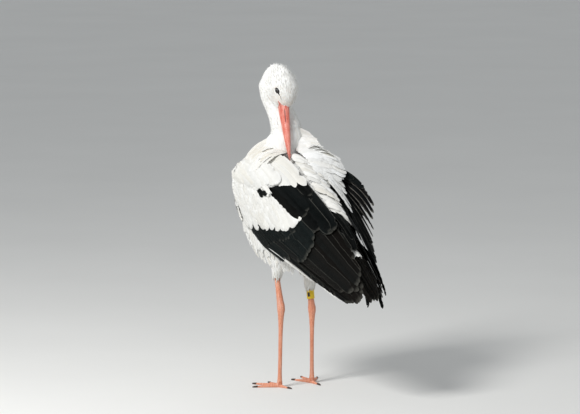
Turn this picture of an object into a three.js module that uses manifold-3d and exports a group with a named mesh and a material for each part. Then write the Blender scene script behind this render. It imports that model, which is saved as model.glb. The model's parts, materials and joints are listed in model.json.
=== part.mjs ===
// A life-size white stork preening its back: the neck is bent over backwards, the bill points
// down into the mantle, and both wings are folded and a little drooped. Long feathers of the
// right wing stand away from its side in a loose fan. A plain ring sits above the right hock.
//
// Frame, in millimetres: +Z up, the breast faces -Y and the bird's left side is +X. The model is
// laid out from the ground point between the two feet, and moved at the end so that the origin is
// at the middle of the underside of its bounding box.

import * as THREE from "three";
import { mergeVertices } from "three/addons/utils/BufferGeometryUtils.js";
import Module from "manifold-3d";

const wasm = await Module();
wasm.setup();

const { Vector3, CatmullRomCurve3, MathUtils } = THREE;

// ---------------------------------------------------------------- driving dimensions

const GAP = 0.35; // left between two pieces that touch

const BILL_LENGTH = 164; // from the forehead feathers to the tip
const BILL_BASE_DEPTH = 35;
const BILL_BASE_WIDTH = 26;
const EYE_RADIUS = 7.4;

const MIDDLE_TOE = 76; // without its claw
const CLAW_LENGTH = 13;
const SOLE_THICKNESS = 9;
const WEB_THICKNESS = 3;

const RING_HEIGHT = 25;
const RING_INNER_RADIUS = 9.9;
const RING_WALL = 1.4;

// Trunk, from the breast to the rump: y and z where each section meets the back and the belly,
// and half its width.
const TRUNK = [
  { top: [-150, 556], bottom: [-166, 520], width: 20 },
  { top: [-118, 608], bottom: [-171, 468], width: 53 },
  { top: [-68, 638], bottom: [-152, 414], width: 79 },
  { top: [-8, 636], bottom: [-106, 372], width: 90 },
  { top: [60, 604], bottom: [-38, 352], width: 91 },
  { top: [115, 562], bottom: [30, 358], width: 80 },
  { top: [160, 528], bottom: [98, 386], width: 64 },
  { top: [196, 502], bottom: [158, 411], width: 48 },
  { top: [222, 480], bottom: [204, 428], width: 34 },
  { top: [234, 466], bottom: [223, 438], width: 22 },
];

// Neck, from inside the trunk up, over and down into the back of the head.
const NECK = [
  { at: [-2, -72, 490], radius: 72 },
  { at: [-8, -84, 570], radius: 86 },
  { at: [-14, -81, 640], radius: 74 },
  { at: [-17, -70, 690], radius: 52 },
  { at: [-17, -72, 722], radius: 42 },
  { at: [-12, -96, 770], radius: 36 },
  { at: [-4, -120, 812], radius: 34 },
  { at: [1, -124, 854], radius: 33 },
  { at: [0, -102, 882], radius: 28 },
];

const BILL_BASE = new Vector3(3, -58, 790); // where the bill meets the forehead
const BILL_WAY = new Vector3(0.13, 0.38, -0.915).normalize();
const CROWN_AZIMUTH = -15; // degrees that the crown faces away from straight back, towards +X

// The head's sections, from the base of the bill back to the nape: how far back, how far up the
// middle lies, half the height and half the width.
const HEAD = [
  { back: -3, up: 0, height: 17, width: 13 },
  { back: 4, up: 1, height: 23, width: 19 },
  { back: 16, up: 3, height: 31, width: 26 },
  { back: 32, up: 3, height: 38, width: 33 },
  { back: 52, up: 0, height: 42, width: 37 },
  { back: 74, up: -3, height: 42, width: 37 },
  { back: 92, up: -7, height: 35, width: 31 },
  { back: 104, up: -10, height: 19, width: 18 },
];

// Each wing hangs on four lines that run from its front edge to its tips: the inner edge on the
// back, two lines down its outer side, and the lower edge. These are the left wing's.
const WING_LINES = [
  [[66, -112, 652], [62, -40, 650], [48, 50, 612], [37, 195, 515], [33, 332, 398]],
  [[104, -136, 622], [106, -50, 603], [94, 60, 560], [70, 195, 466], [42, 356, 345]],
  [[121, -146, 560], [121, -50, 508], [112, 60, 462], [90, 200, 388], [50, 349, 304]],
  [[113, -124, 476], [109, -50, 416], [99, 62, 375], [79, 201, 320], [60, 296, 280]],
];
const RIGHT_DROOP = 20; // how much lower the tips of the right wing hang
const RIGHT_REACH = 18; // and how much further back

// The feather tracts of a wing, as pairs [s, t] on its surface along the roots and along the
// tips. s runs from the front edge to the tips and t from the back to the lower edge. The depth
// is how far under the wing's outline the tract's outer face lies.
const TRACTS = [
  {
    name: "scapulars",
    white: true,
    feathers: 4,
    rows: 3,
    notch: 0.16,
    depth: 0,
    roots: [[0.42, 0], [0.25, 0], [0.12, 0], [0.03, 0], [0, 0.08]],
    tips: [[0.56, 0], [0.48, 0.15], [0.4, 0.33], [0.31, 0.43], [0.05, 0.42]],
  },
  {
    name: "tertials",
    white: false,
    feathers: 4,
    rows: 3,
    notch: 0.1,
    depth: 5,
    roots: [[0.3, 0.02], [0.28, 0.15], [0.3, 0.28]],
    tips: [[0.84, 0.02], [0.82, 0.18], [0.71, 0.3], [0.64, 0.43]],
  },
  {
    name: "coverts",
    white: true,
    feathers: 6,
    rows: 3,
    notch: 0.1,
    depth: 9,
    roots: [[0.42, 0.12], [0.2, 0.1], [0.02, 0.12], [0, 0.5], [0, 0.97]],
    tips: [[0.65, 0.37], [0.6, 0.56], [0.49, 0.69], [0.34, 0.83], [0.13, 0.99]],
  },
  {
    name: "greater_coverts",
    white: false,
    feathers: 5,
    rows: 3,
    notch: 0.1,
    depth: 13,
    roots: [[0.45, 0.3], [0.3, 0.5], [0.15, 0.75], [0.06, 0.99]],
    tips: [[0.74, 0.3], [0.74, 0.55], [0.73, 0.72], [0.67, 0.88], [0.56, 1]],
  },
  {
    name: "secondaries",
    white: false,
    feathers: 5,
    rows: 3,
    notch: 0.07,
    depth: 17,
    roots: [[0.48, 0.06], [0.47, 0.4], [0.47, 0.82]],
    tips: [[0.97, 0.02], [1, 0.3], [1, 0.54], [0.94, 0.74]],
  },
  {
    name: "primaries",
    white: false,
    feathers: 5,
    rows: 3,
    notch: 0.09,
    depth: 21,
    roots: [[0.48, 0.5], [0.47, 0.8], [0.44, 1]],
    tips: [[1, 0.5], [1, 0.8], [1, 1]],
  },
];
const VANE_THICKNESS = 2.6;

// The flesh of the folded wing, under the coverts.
const ARM = { front: 0.02, back: 0.45, top: 0.05, bottom: 0.95, depth: 17.5, thickness: 20 };

// The loose fan of the right wing: lines through the roots, the middles and the tips of its
// feathers, from the uppermost feather down.
const FAN = {
  feathers: 7,
  split: 0.74,
  roots: [[-97, 22, 606], [-92, 60, 588], [-84, 100, 562], [-76, 140, 530]],
  middles: [[-134, 92, 580], [-124, 116, 534], [-110, 150, 486], [-92, 200, 432]],
  tips: [[-152, 160, 515], [-142, 176, 462], [-118, 212, 406], [-92, 282, 330]],
};

// The swept white scapulars of the right shoulder, over the roots of the fan.
const SWEPT = {
  feathers: 4,
  split: 0.3,
  roots: [[-70, -70, 664], [-62, -20, 658], [-54, 30, 636], [-44, 90, 600]],
  middles: [[-104, -24, 655], [-92, 16, 640], [-74, 66, 608], [-56, 134, 560]],
  tips: [[-124, 40, 634], [-114, 74, 598], [-88, 120, 560], [-62, 196, 498]],
};

// The tail: the same three lines, from its left edge to its right.
const TAIL = {
  feathers: 4,
  split: 0.14,
  roots: [[17, 196, 448], [6, 202, 454], [-6, 202, 454], [-17, 196, 448]],
  middles: [[17, 246, 426], [6, 254, 432], [-6, 254, 432], [-17, 246, 426]],
  tips: [[15, 294, 396], [5, 308, 402], [-5, 308, 402], [-15, 294, 396]],
};

// Legs: the points that each passes through, and the way that its foot is turned out in degrees.
const LEGS = [
  {
    name: "left",
    side: 1,
    hip: [44, 2, 438],
    knee: [50, -14, 372],
    featherEnd: [54, -16, 311],
    hock: [52, 1, 225],
    ankle: [56, 0, 16],
    toeOut: 26,
  },
  {
    name: "right",
    side: -1,
    hip: [-44, 2, 438],
    knee: [-49, -10, 352],
    featherEnd: [-52, -6, 270],
    hock: [-52, 4, 213],
    ankle: [-52, 4, 16],
    toeOut: 14,
  },
];
const TOES = [
  { name: "inner", angle: -33, length: 0.78, radius: 4.6 },
  { name: "middle", angle: 0, length: 1, radius: 5 },
  { name: "outer", angle: 34, length: 0.84, radius: 4.6 },
  { name: "hind", angle: 168, length: 0.42, radius: 4 },
];

// ---------------------------------------------------------------- making solids

function solidOf(geometry) {
  const plain = new THREE.BufferGeometry();
  const flat = geometry.index ? geometry.toNonIndexed() : geometry;
  plain.setAttribute("position", flat.getAttribute("position"));
  const merged = mergeVertices(plain, 1e-3);
  return new wasm.Manifold(
    new wasm.Mesh({
      numProp: 3,
      vertProperties: merged.attributes.position.array,
      triVerts: new Uint32Array(merged.index.array),
    }),
  );
}

function geometryOf(solid) {
  const mesh = solid.getMesh();
  const position = new Float32Array(mesh.numVert * 3);
  for (let i = 0; i < mesh.numVert; i++) {
    position.set(mesh.vertProperties.subarray(i * mesh.numProp, i * mesh.numProp + 3), i * 3);
  }
  const geometry = new THREE.BufferGeometry();
  geometry.setAttribute("position", new THREE.BufferAttribute(position, 3));
  geometry.setIndex(new THREE.BufferAttribute(mesh.triVerts, 1));
  return geometry;
}

// A solid from points and triangles, turned outwards if they face in.
function closedSolid(position, index) {
  const geometry = new THREE.BufferGeometry();
  geometry.setAttribute("position", new THREE.Float32BufferAttribute(position, 3));
  geometry.setIndex(index);
  const solid = solidOf(geometry);
  if (solid.volume() >= 0) {
    return solid;
  }
  for (let i = 0; i < index.length; i += 3) {
    [index[i], index[i + 1]] = [index[i + 1], index[i]];
  }
  geometry.setIndex(index);
  return solidOf(geometry);
}

// The biggest piece of a solid that cutting has left in several.
function mainPiece(solid) {
  const pieces = solid.decompose();
  return pieces.reduce((best, piece) => (piece.volume() > best.volume() ? piece : best));
}

// A closed solid from rings of points, each ring with the same count, capped at both ends.
function skinRings(rings) {
  const sides = rings[0].length;
  const position = rings.flat().flatMap((p) => [p.x, p.y, p.z]);
  const index = [];
  for (let r = 0; r + 1 < rings.length; r++) {
    for (let k = 0; k < sides; k++) {
      const a = r * sides + k;
      const b = r * sides + ((k + 1) % sides);
      index.push(a, b, b + sides, a, b + sides, a + sides);
    }
  }
  [rings[0], rings[rings.length - 1]].forEach((ring, end) => {
    const middle = ring.reduce((sum, p) => sum.add(p), new Vector3()).divideScalar(sides);
    position.push(middle.x, middle.y, middle.z);
    const hub = rings.length * sides + end;
    const first = end ? (rings.length - 1) * sides : 0;
    for (let k = 0; k < sides; k++) {
      const a = first + k;
      const b = first + ((k + 1) % sides);
      index.push(...(end ? [hub, a, b] : [hub, b, a]));
    }
  });
  return closedSolid(position, index);
}

// A tube of elliptical sections. Each station holds its middle, its two half sizes and the
// directions they lie along.
function tube(stations, sides) {
  const rings = stations.map(({ middle, across, along, halfAcross, halfAlong }) =>
    Array.from({ length: sides }, (_, k) => {
      const angle = (k / sides) * 2 * Math.PI;
      return middle
        .clone()
        .addScaledVector(across, halfAcross * Math.cos(angle))
        .addScaledVector(along, halfAlong * Math.sin(angle));
    }),
  );
  return skinRings(rings);
}

// A smooth point between key points, by Catmull-Rom. t runs from 0 to 1 over equal steps.
function smooth(keys, t) {
  const points = keys.map(([x, y, z = 0]) => new Vector3(x, y, z));
  return new CatmullRomCurve3(points, false, "catmullrom", 0.5).getPoint(MathUtils.clamp(t, 0, 1));
}

const SIDE = new Vector3(1, 0, 0);

// A tube of elliptical sections along a smooth path through key points, square to the path. Each
// key has a radius, or one half size across the body and one along it.
function pathTube(keys, steps, sides, grow = 0) {
  const path = keys.map((k) => k.at);
  const sizes = keys.map((k) => [k.across ?? k.radius, k.along ?? k.radius]);
  const stations = Array.from({ length: steps + 1 }, (_, i) => {
    const t = i / steps;
    const ahead = smooth(path, t + 0.01).sub(smooth(path, t - 0.01));
    const along = ahead.clone().cross(SIDE).normalize();
    const size = smooth(sizes, t);
    return {
      middle: smooth(path, t),
      across: along.clone().cross(ahead).normalize(),
      along,
      halfAcross: size.x + grow,
      halfAlong: size.y + grow,
    };
  });
  return tube(stations, sides);
}

// A big block on the side of a plane that its normal points to, for cutting a piece in two.
function halfSpace(point, normal, size = 900) {
  const block = new THREE.BoxGeometry(size, size, size);
  block.translate(0, 0, size / 2);
  const upright = new Vector3(0, 0, 1);
  const turn = new THREE.Quaternion().setFromUnitVectors(upright, normal.clone().normalize());
  block.applyQuaternion(turn);
  block.translate(point.x, point.y, point.z);
  return solidOf(block);
}

function ball(center, radius, around = 10, down = 7) {
  const geometry = new THREE.SphereGeometry(radius, around, down);
  geometry.translate(center.x, center.y, center.z);
  return solidOf(geometry);
}

// A closed sheet between two grids of points of the same size.
function gridSheet(outer, inner) {
  const rows = outer.length;
  const columns = outer[0].length;
  const position = [outer, inner].flatMap((grid) => grid.flat().flatMap((p) => [p.x, p.y, p.z]));
  const index = [];
  const quad = (a, b, c, d) => index.push(a, b, c, a, c, d);
  const at = (layer, r, c) => layer * rows * columns + r * columns + c;
  for (let r = 0; r + 1 < rows; r++) {
    for (let c = 0; c + 1 < columns; c++) {
      quad(at(0, r, c), at(0, r, c + 1), at(0, r + 1, c + 1), at(0, r + 1, c));
      quad(at(1, r, c), at(1, r + 1, c), at(1, r + 1, c + 1), at(1, r, c + 1));
    }
    const last = columns - 1;
    quad(at(0, r, 0), at(0, r + 1, 0), at(1, r + 1, 0), at(1, r, 0));
    quad(at(0, r, last), at(1, r, last), at(1, r + 1, last), at(0, r + 1, last));
  }
  for (let c = 0; c + 1 < columns; c++) {
    const last = rows - 1;
    quad(at(0, 0, c), at(1, 0, c), at(1, 0, c + 1), at(0, 0, c + 1));
    quad(at(0, last, c), at(0, last, c + 1), at(1, last, c + 1), at(1, last, c));
  }
  return closedSolid(position, index);
}

// A row of feathers as one sheet. pointAt(share, reach) gives a point and the outward normal:
// share runs across the row and reach from roots to tips. split says how deep the slits between
// two feathers run, as a part of their length.
const COLUMNS_PER_FEATHER = 3;
const TIP_THINNING = 0.45;

function featherRow({ feathers, rows, split, depth, thickness, pointAt, grow = 0 }) {
  const columns = feathers * COLUMNS_PER_FEATHER + 1;
  const grid = Array.from({ length: rows + 1 }, (_, r) =>
    Array.from({ length: columns }, (_, c) => {
      const between = c % COLUMNS_PER_FEATHER === 0 && c > 0 && c < columns - 1;
      const reach = (r / rows) * (between ? 1 - split : 1);
      const thick = thickness * MathUtils.lerp(1, TIP_THINNING, r / rows);
      return { ...pointAt(c / (columns - 1), reach), thick };
    }),
  );
  const stretched = grid.map((row, r) =>
    row.map(({ point }, c) => {
      const besides = [
        [r, c === 0 ? 1 : columns - 2, c === 0 || c === columns - 1],
        [r === 0 ? 1 : rows - 1, c, r === 0 || r === rows],
      ];
      return besides.reduce((moved, [row2, column2, onRim]) => {
        const away = point.clone().sub(grid[row2][column2].point).normalize();
        return onRim ? moved.addScaledVector(away, grow) : moved;
      }, point.clone());
    }),
  );
  const layer = (deepness) =>
    grid.map((row, r) =>
      row.map(({ normal, thick }, c) =>
        stretched[r][c].clone().addScaledVector(normal, -depth - deepness(thick)),
      ),
    );
  return gridSheet(
    layer(() => -grow),
    layer((thick) => thick + grow),
  );
}

// ---------------------------------------------------------------- trunk, neck and head

function trunkSolid(grow = 0) {
  const steps = 12;
  const sides = 18;
  const stations = Array.from({ length: steps + 1 }, (_, i) => {
    const t = i / steps;
    const top = smooth(TRUNK.map((s) => [0, ...s.top]), t);
    const bottom = smooth(TRUNK.map((s) => [0, ...s.bottom]), t);
    const depth = top.clone().sub(bottom);
    return {
      middle: bottom.clone().addScaledVector(depth, 0.5),
      across: SIDE,
      along: depth.clone().normalize(),
      halfAcross: smooth(TRUNK.map((s) => [s.width, 0]), t).x + grow,
      halfAlong: depth.length() / 2 + grow,
    };
  });
  return tube(stations, sides);
}

const neckSolid = (grow = 0) => pathTube(NECK, 12, 14, grow);

// The crown faces up and away from the bill, in the plane that its azimuth gives.
const CROWN_TURN = MathUtils.degToRad(CROWN_AZIMUTH);
const CROWN_HEADING = new Vector3(Math.sin(CROWN_TURN), Math.cos(CROWN_TURN), 0);
const CROWN = CROWN_HEADING.addScaledVector(BILL_WAY, -CROWN_HEADING.dot(BILL_WAY)).normalize();
const HEAD_RIGHT = BILL_WAY.clone().cross(CROWN).normalize();

// A point on the head: ahead towards the bill, up towards the crown, and to its right.
function onHead(ahead, up, right) {
  return BILL_BASE.clone()
    .addScaledVector(BILL_WAY, ahead)
    .addScaledVector(CROWN, up)
    .addScaledVector(HEAD_RIGHT, right);
}

function headSolid(grow = 0) {
  const steps = 9;
  const sides = 14;
  const stations = Array.from({ length: steps + 1 }, (_, i) => {
    const t = i / steps;
    const place = smooth(HEAD.map((s) => [s.back, s.up]), t);
    const size = smooth(HEAD.map((s) => [s.width, s.height]), t);
    return {
      middle: onHead(-place.x, place.y, 0),
      across: HEAD_RIGHT,
      along: CROWN,
      halfAcross: size.x + grow,
      halfAlong: size.y + grow,
    };
  });
  return tube(stations, sides);
}

// The bill: two tapering halves that meet on the gape. The sign is 1 for the upper half.
function billHalf(sign, grow = 0) {
  const stations = [-16, 0, 34, 80, 122, 150, BILL_LENGTH];
  const tipPlay = 6;
  const bluntness = 0.82;
  const steps = 7;
  const rings = stations.map((x) => {
    const taper = Math.pow(1 - Math.max(0, x) / (BILL_LENGTH + tipPlay), bluntness);
    const half = (BILL_BASE_DEPTH / 2) * taper + grow;
    const wide = (BILL_BASE_WIDTH / 2) * taper + grow;
    const parting = sign * (GAP / 2 - grow);
    return Array.from({ length: steps + 1 }, (_, k) => {
      const angle = (k / steps) * Math.PI;
      const height = parting + (sign * half - parting) * Math.sin(angle);
      return onHead(x, height, wide * Math.cos(angle));
    });
  });
  return skinRings(rings);
}

const EYE_PLACE = { ahead: -27, up: 7, right: 27 };
const eyeAt = (side) => onHead(EYE_PLACE.ahead, EYE_PLACE.up, side * EYE_PLACE.right);

// ---------------------------------------------------------------- wings and tail

function wingPoint(side, s, t) {
  const across = WING_LINES.map((line) => smooth(line, s).toArray());
  const point = smooth(across, t);
  point.x *= side;
  if (side < 0) {
    point.z -= RIGHT_DROOP * s * s;
    point.y += RIGHT_REACH * s * s;
  }
  return point;
}

// A point on a surface given by a function of two shares, with its unit normal.
function pointAndNormal(surface, a, b, outward) {
  const step = 0.01;
  const alongA = surface(a + step, b).sub(surface(a - step, b));
  const alongB = surface(a, b + step).sub(surface(a, b - step));
  const normal = alongA.cross(alongB).normalize();
  return { point: surface(a, b), normal: normal.multiplyScalar(outward) };
}

const onWing = (side, s, t) =>
  pointAndNormal(
    (a, b) => wingPoint(side, MathUtils.clamp(a, 0, 1), MathUtils.clamp(b, 0, 1)),
    s,
    t,
    -side,
  );

function wingTract(side, tract, grow = 0) {
  return featherRow({
    grow,
    feathers: tract.feathers,
    rows: tract.rows,
    split: tract.notch,
    depth: tract.depth,
    thickness: VANE_THICKNESS,
    pointAt: (share, reach) => {
      const st = smooth(tract.roots, share).lerp(smooth(tract.tips, share), reach);
      return onWing(side, st.x, st.y);
    },
  });
}

function armSolid(side) {
  const rows = 4;
  const columns = 4;
  const swell = (step, steps) => Math.sin((Math.PI * (step + 0.5)) / (steps + 1));
  const cell = (r, c, deep) => {
    const s = MathUtils.lerp(ARM.front, ARM.back, r / rows);
    const t = MathUtils.lerp(ARM.top, ARM.bottom, c / columns);
    const bulge = swell(r, rows) * swell(c, columns);
    const { point, normal } = onWing(side, s, t);
    return point.addScaledVector(normal, -ARM.depth - deep * ARM.thickness * bulge);
  };
  const grid = (deep) =>
    Array.from({ length: rows + 1 }, (_, r) =>
      Array.from({ length: columns + 1 }, (_, c) => cell(r, c, deep)),
    );
  return gridSheet(grid(0), grid(1));
}

// Feathers that leave the body on three lines of their own: roots, middles and tips.
function looseRow({ feathers, split, roots, middles, tips }, grow = 0) {
  const surface = (share, reach) => {
    const a = smooth(roots, share);
    const b = smooth(middles, share);
    const c = smooth(tips, share);
    return a
      .multiplyScalar((1 - reach) * (1 - 2 * reach))
      .addScaledVector(b, 4 * reach * (1 - reach))
      .addScaledVector(c, reach * (2 * reach - 1));
  };
  return featherRow({
    feathers,
    rows: 3,
    split,
    grow,
    depth: 0,
    thickness: VANE_THICKNESS,
    pointAt: (share, reach) => pointAndNormal(surface, share, reach, 1),
  });
}

// ---------------------------------------------------------------- legs

function alongLine(from, to, share) {
  return from.map((value, axis) => MathUtils.lerp(value, to[axis], share));
}

const thighSolid = (leg, grow = 0) =>
  pathTube(
    [
      { at: leg.hip, across: 30, along: 56 },
      { at: leg.knee, across: 27, along: 42 },
      { at: alongLine(leg.knee, leg.featherEnd, 0.62), across: 17, along: 20 },
      { at: leg.featherEnd, across: 11.5, along: 12.5 },
    ],
    6,
    10,
    grow,
  );

// The bare part of the leg, from inside the thigh's feathers down to the foot.
const boneSolid = (leg) =>
  pathTube(
    [
      { at: alongLine(leg.featherEnd, leg.hock, -0.2), across: 7.4, along: 7.8 },
      { at: alongLine(leg.featherEnd, leg.hock, 0.3), across: 7.8, along: 8.6 },
      { at: alongLine(leg.featherEnd, leg.hock, 0.74), across: 9.2, along: 10.6 },
      { at: leg.hock, across: 10.6, along: 12.8 },
      { at: alongLine(leg.hock, leg.ankle, 0.12), across: 8, along: 9.2 },
      { at: alongLine(leg.hock, leg.ankle, 0.3), across: 5.6, along: 7.2 },
      { at: alongLine(leg.hock, leg.ankle, 0.62), across: 5.2, along: 6.4 },
      { at: alongLine(leg.hock, leg.ankle, 0.9), across: 5.6, along: 6.2 },
      { at: alongLine(leg.hock, leg.ankle, 1), across: 7.2, along: 8 },
    ],
    15,
    8,
  );

// The way that a toe points, flat on the ground.
function toeWay(leg, toe) {
  const turn = MathUtils.degToRad(leg.side * (leg.toeOut + toe.angle));
  return new Vector3(Math.sin(turn), -Math.cos(turn), 0);
}

const onGround = (leg) => new Vector3(leg.ankle[0], leg.ankle[1], 0);

// A rounded bar that lies flat on the ground, from one distance to another along a toe.
function toeBar(leg, toe, stations) {
  const way = toeWay(leg, toe);
  const across = new Vector3(-way.y, way.x, 0);
  const up = new Vector3(0, 0, 1);
  const rise = 0.62; // of the half height, so that the underside is cut to a flat
  const solid = tube(
    stations.map(({ out, wide, high }) => ({
      middle: onGround(leg).addScaledVector(way, out).addScaledVector(up, high * rise),
      across,
      along: up,
      halfAcross: wide,
      halfAlong: high,
    })),
    8,
  );
  return solid.subtract(halfSpace(new Vector3(), new Vector3(0, 0, -1), 400));
}

function toeSolid(leg, toe) {
  const length = MIDDLE_TOE * toe.length;
  const r = toe.radius;
  return toeBar(leg, toe, [
    { out: -2, wide: r + 2, high: r + 2.4 },
    { out: length * 0.2, wide: r + 1, high: r + 1 },
    { out: length * 0.7, wide: r - 0.3, high: r - 0.8 },
    { out: length, wide: r - 1.6, high: r - 2 },
  ]);
}

function clawSolid(leg, toe) {
  const start = MIDDLE_TOE * toe.length + GAP;
  return toeBar(leg, toe, [
    { out: start, wide: 3.4, high: 3.2 },
    { out: start + CLAW_LENGTH * 0.5, wide: 2.6, high: 2.5 },
    { out: start + CLAW_LENGTH, wide: 0.8, high: 0.9 },
  ]);
}

// The skin between two toes: a flat piece as far as part of the way along each.
function webSolid(leg, toe, next) {
  const reach = 0.4;
  const a = toeWay(leg, toe).multiplyScalar(MIDDLE_TOE * toe.length * reach);
  const b = toeWay(leg, next).multiplyScalar(MIDDLE_TOE * next.length * reach);
  const corners = [new Vector3(), a, a.clone().add(b).multiplyScalar(0.44), b];
  const shape = new THREE.Shape(corners.map((p) => new THREE.Vector2(p.x, p.y)));
  const plate = new THREE.ExtrudeGeometry(shape, { depth: WEB_THICKNESS, bevelEnabled: false });
  plate.translate(leg.ankle[0], leg.ankle[1], 0);
  return solidOf(plate);
}

function footSolid(leg) {
  const [inner, middle, outer] = TOES;
  const foot = TOES.reduce(
    (whole, toe) => whole.add(toeSolid(leg, toe)),
    webSolid(leg, middle, outer).add(webSolid(leg, inner, middle)),
  );
  const ankle = pathTube(
    [
      { at: [leg.ankle[0], leg.ankle[1] - 3, SOLE_THICKNESS / 2], radius: 8.2 },
      { at: [leg.ankle[0], leg.ankle[1] - 1, SOLE_THICKNESS], radius: 8.4 },
      { at: leg.ankle, across: 7.2, along: 8 },
    ],
    2,
    8,
  );
  return foot.add(ankle);
}

function ringSolid(leg) {
  const profile = [
    [RING_INNER_RADIUS, -RING_HEIGHT / 2],
    [RING_INNER_RADIUS + RING_WALL, -RING_HEIGHT / 2],
    [RING_INNER_RADIUS + RING_WALL, RING_HEIGHT / 2],
    [RING_INNER_RADIUS, RING_HEIGHT / 2],
    [RING_INNER_RADIUS, -RING_HEIGHT / 2],
  ].map(([x, y]) => new THREE.Vector2(x, y));
  const ring = new THREE.LatheGeometry(profile, 16);
  const top = new Vector3(...leg.featherEnd);
  const hock = new Vector3(...leg.hock);
  const up = top.clone().sub(hock).normalize();
  ring.applyQuaternion(new THREE.Quaternion().setFromUnitVectors(new Vector3(0, 1, 0), up));
  const middle = top.addScaledVector(up, -RING_HEIGHT / 2 - 4);
  ring.translate(middle.x, middle.y, middle.z);
  return solidOf(ring);
}

// ---------------------------------------------------------------- the bird

const WHITE_PLUMAGE = new THREE.MeshStandardMaterial({ color: 0xf2f1ea, roughness: 0.85 });
const BLACK_PLUMAGE = new THREE.MeshStandardMaterial({ color: 0x1b2022, roughness: 0.55 });
const RED_SKIN = new THREE.MeshStandardMaterial({ color: 0xd9664a, roughness: 0.6 });
const RED_HORN = new THREE.MeshStandardMaterial({ color: 0xdd4b32, roughness: 0.45 });
const DARK_HORN = new THREE.MeshStandardMaterial({ color: 0x3a2723, roughness: 0.5 });
const EYE = new THREE.MeshStandardMaterial({ color: 0x14100f, roughness: 0.1 });
const YELLOW_RING = new THREE.MeshStandardMaterial({ color: 0xf2cf1e, roughness: 0.4 });

const root = new THREE.Group();

function place(name, solid, material) {
  const mesh = new THREE.Mesh(geometryOf(solid), material);
  mesh.name = name;
  root.add(mesh);
}

const trunkRoom = trunkSolid(GAP);
const neckRoom = neckSolid(GAP);
const headRoom = headSolid(GAP);
const billRoom = billHalf(1, GAP).add(billHalf(-1, GAP));
const bodyRoom = trunkRoom.add(neckRoom).add(billRoom);

place("trunk", trunkSolid().subtract(billRoom), WHITE_PLUMAGE);

const freeNeck = neckSolid().subtract(trunkRoom).subtract(headRoom).subtract(billRoom);
const neckCut = new Vector3(...NECK[4].at);
const neckCutWay = new Vector3(...NECK[5].at).sub(new Vector3(...NECK[3].at)).normalize();
const neckCutAbove = neckCut.clone().addScaledVector(neckCutWay, GAP);
place("neck_lower", freeNeck.subtract(halfSpace(neckCut, neckCutWay)), WHITE_PLUMAGE);
place(
  "neck_upper",
  freeNeck.subtract(halfSpace(neckCutAbove, neckCutWay.clone().negate())),
  WHITE_PLUMAGE,
);

const eyeRooms = ball(eyeAt(1), EYE_RADIUS + GAP).add(ball(eyeAt(-1), EYE_RADIUS + GAP));
place("head", headSolid().subtract(eyeRooms), WHITE_PLUMAGE);
place("bill_upper", billHalf(1).subtract(headRoom), RED_HORN);
place("bill_lower", billHalf(-1).subtract(headRoom), RED_HORN);
place("eye_left", ball(eyeAt(-1), EYE_RADIUS), EYE);
place("eye_right", ball(eyeAt(1), EYE_RADIUS), EYE);

LEGS.forEach((leg) => {
  const hock = new Vector3(...leg.hock);
  const down = new Vector3(0, 0, -1);
  const up = new Vector3(0, 0, 1);
  const belowGap = hock.clone().addScaledVector(down, GAP);
  const bone = boneSolid(leg);
  const thigh = thighSolid(leg).subtract(trunkRoom);
  place(`leg_${leg.name}_thigh`, mainPiece(thigh), WHITE_PLUMAGE);
  place(
    `leg_${leg.name}_shank`,
    bone.subtract(halfSpace(hock, down)).subtract(thighSolid(leg, GAP)),
    RED_SKIN,
  );
  place(
    `leg_${leg.name}_tarsus`,
    bone.subtract(halfSpace(belowGap, up)),
    RED_SKIN,
  );
  place(
    `leg_${leg.name}_foot`,
    footSolid(leg).subtract(halfSpace(new Vector3(0, 0, leg.ankle[2] - GAP), up)),
    RED_SKIN,
  );
  TOES.forEach((toe) => place(`claw_${leg.name}_${toe.name}`, clawSolid(leg, toe), DARK_HORN));
});
place("leg_ring", ringSolid(LEGS[1]), YELLOW_RING);

// Each layer of a wing is cut back from the layers that lie over it.
const thighRooms = LEGS.map((leg) => thighSolid(leg, GAP));
[
  ["left", 1, []],
  ["right", -1, [looseRow(SWEPT, GAP), looseRow(FAN, GAP)]],
].forEach(([label, side, over]) => {
  const legRoom = thighRooms[side > 0 ? 0 : 1];
  let taken = over.reduce((whole, room) => whole.add(room), bodyRoom.add(legRoom));
  TRACTS.forEach((tract) => {
    const sheet = mainPiece(wingTract(side, tract).subtract(taken));
    place(`wing_${label}_${tract.name}`, sheet, tract.white ? WHITE_PLUMAGE : BLACK_PLUMAGE);
    taken = taken.add(wingTract(side, tract, GAP));
  });
  place(`wing_${label}_arm`, mainPiece(armSolid(side).subtract(taken)), WHITE_PLUMAGE);
});
const sweptRoom = looseRow(SWEPT, GAP);
place("wing_right_swept", mainPiece(looseRow(SWEPT).subtract(bodyRoom)), WHITE_PLUMAGE);
place("wing_right_fan", mainPiece(looseRow(FAN).subtract(sweptRoom)), BLACK_PLUMAGE);
place("tail", mainPiece(looseRow(TAIL).subtract(trunkRoom)), WHITE_PLUMAGE);

// ---------------------------------------------------------------- origin

const box = new THREE.Box3().setFromObject(root);
root.position.set(-(box.min.x + box.max.x) / 2, -(box.min.y + box.max.y) / 2, -box.min.z);

export default root;
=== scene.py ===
"""A life-size white stork that preens its back, dressed over its solids.

The skin is one surface drawn from the solids of the flesh. Over it lie the feathers, each one a
thin closed vane with its root in the skin, from the bristles of the face to the wing quills.
"""

import json
import math

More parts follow.
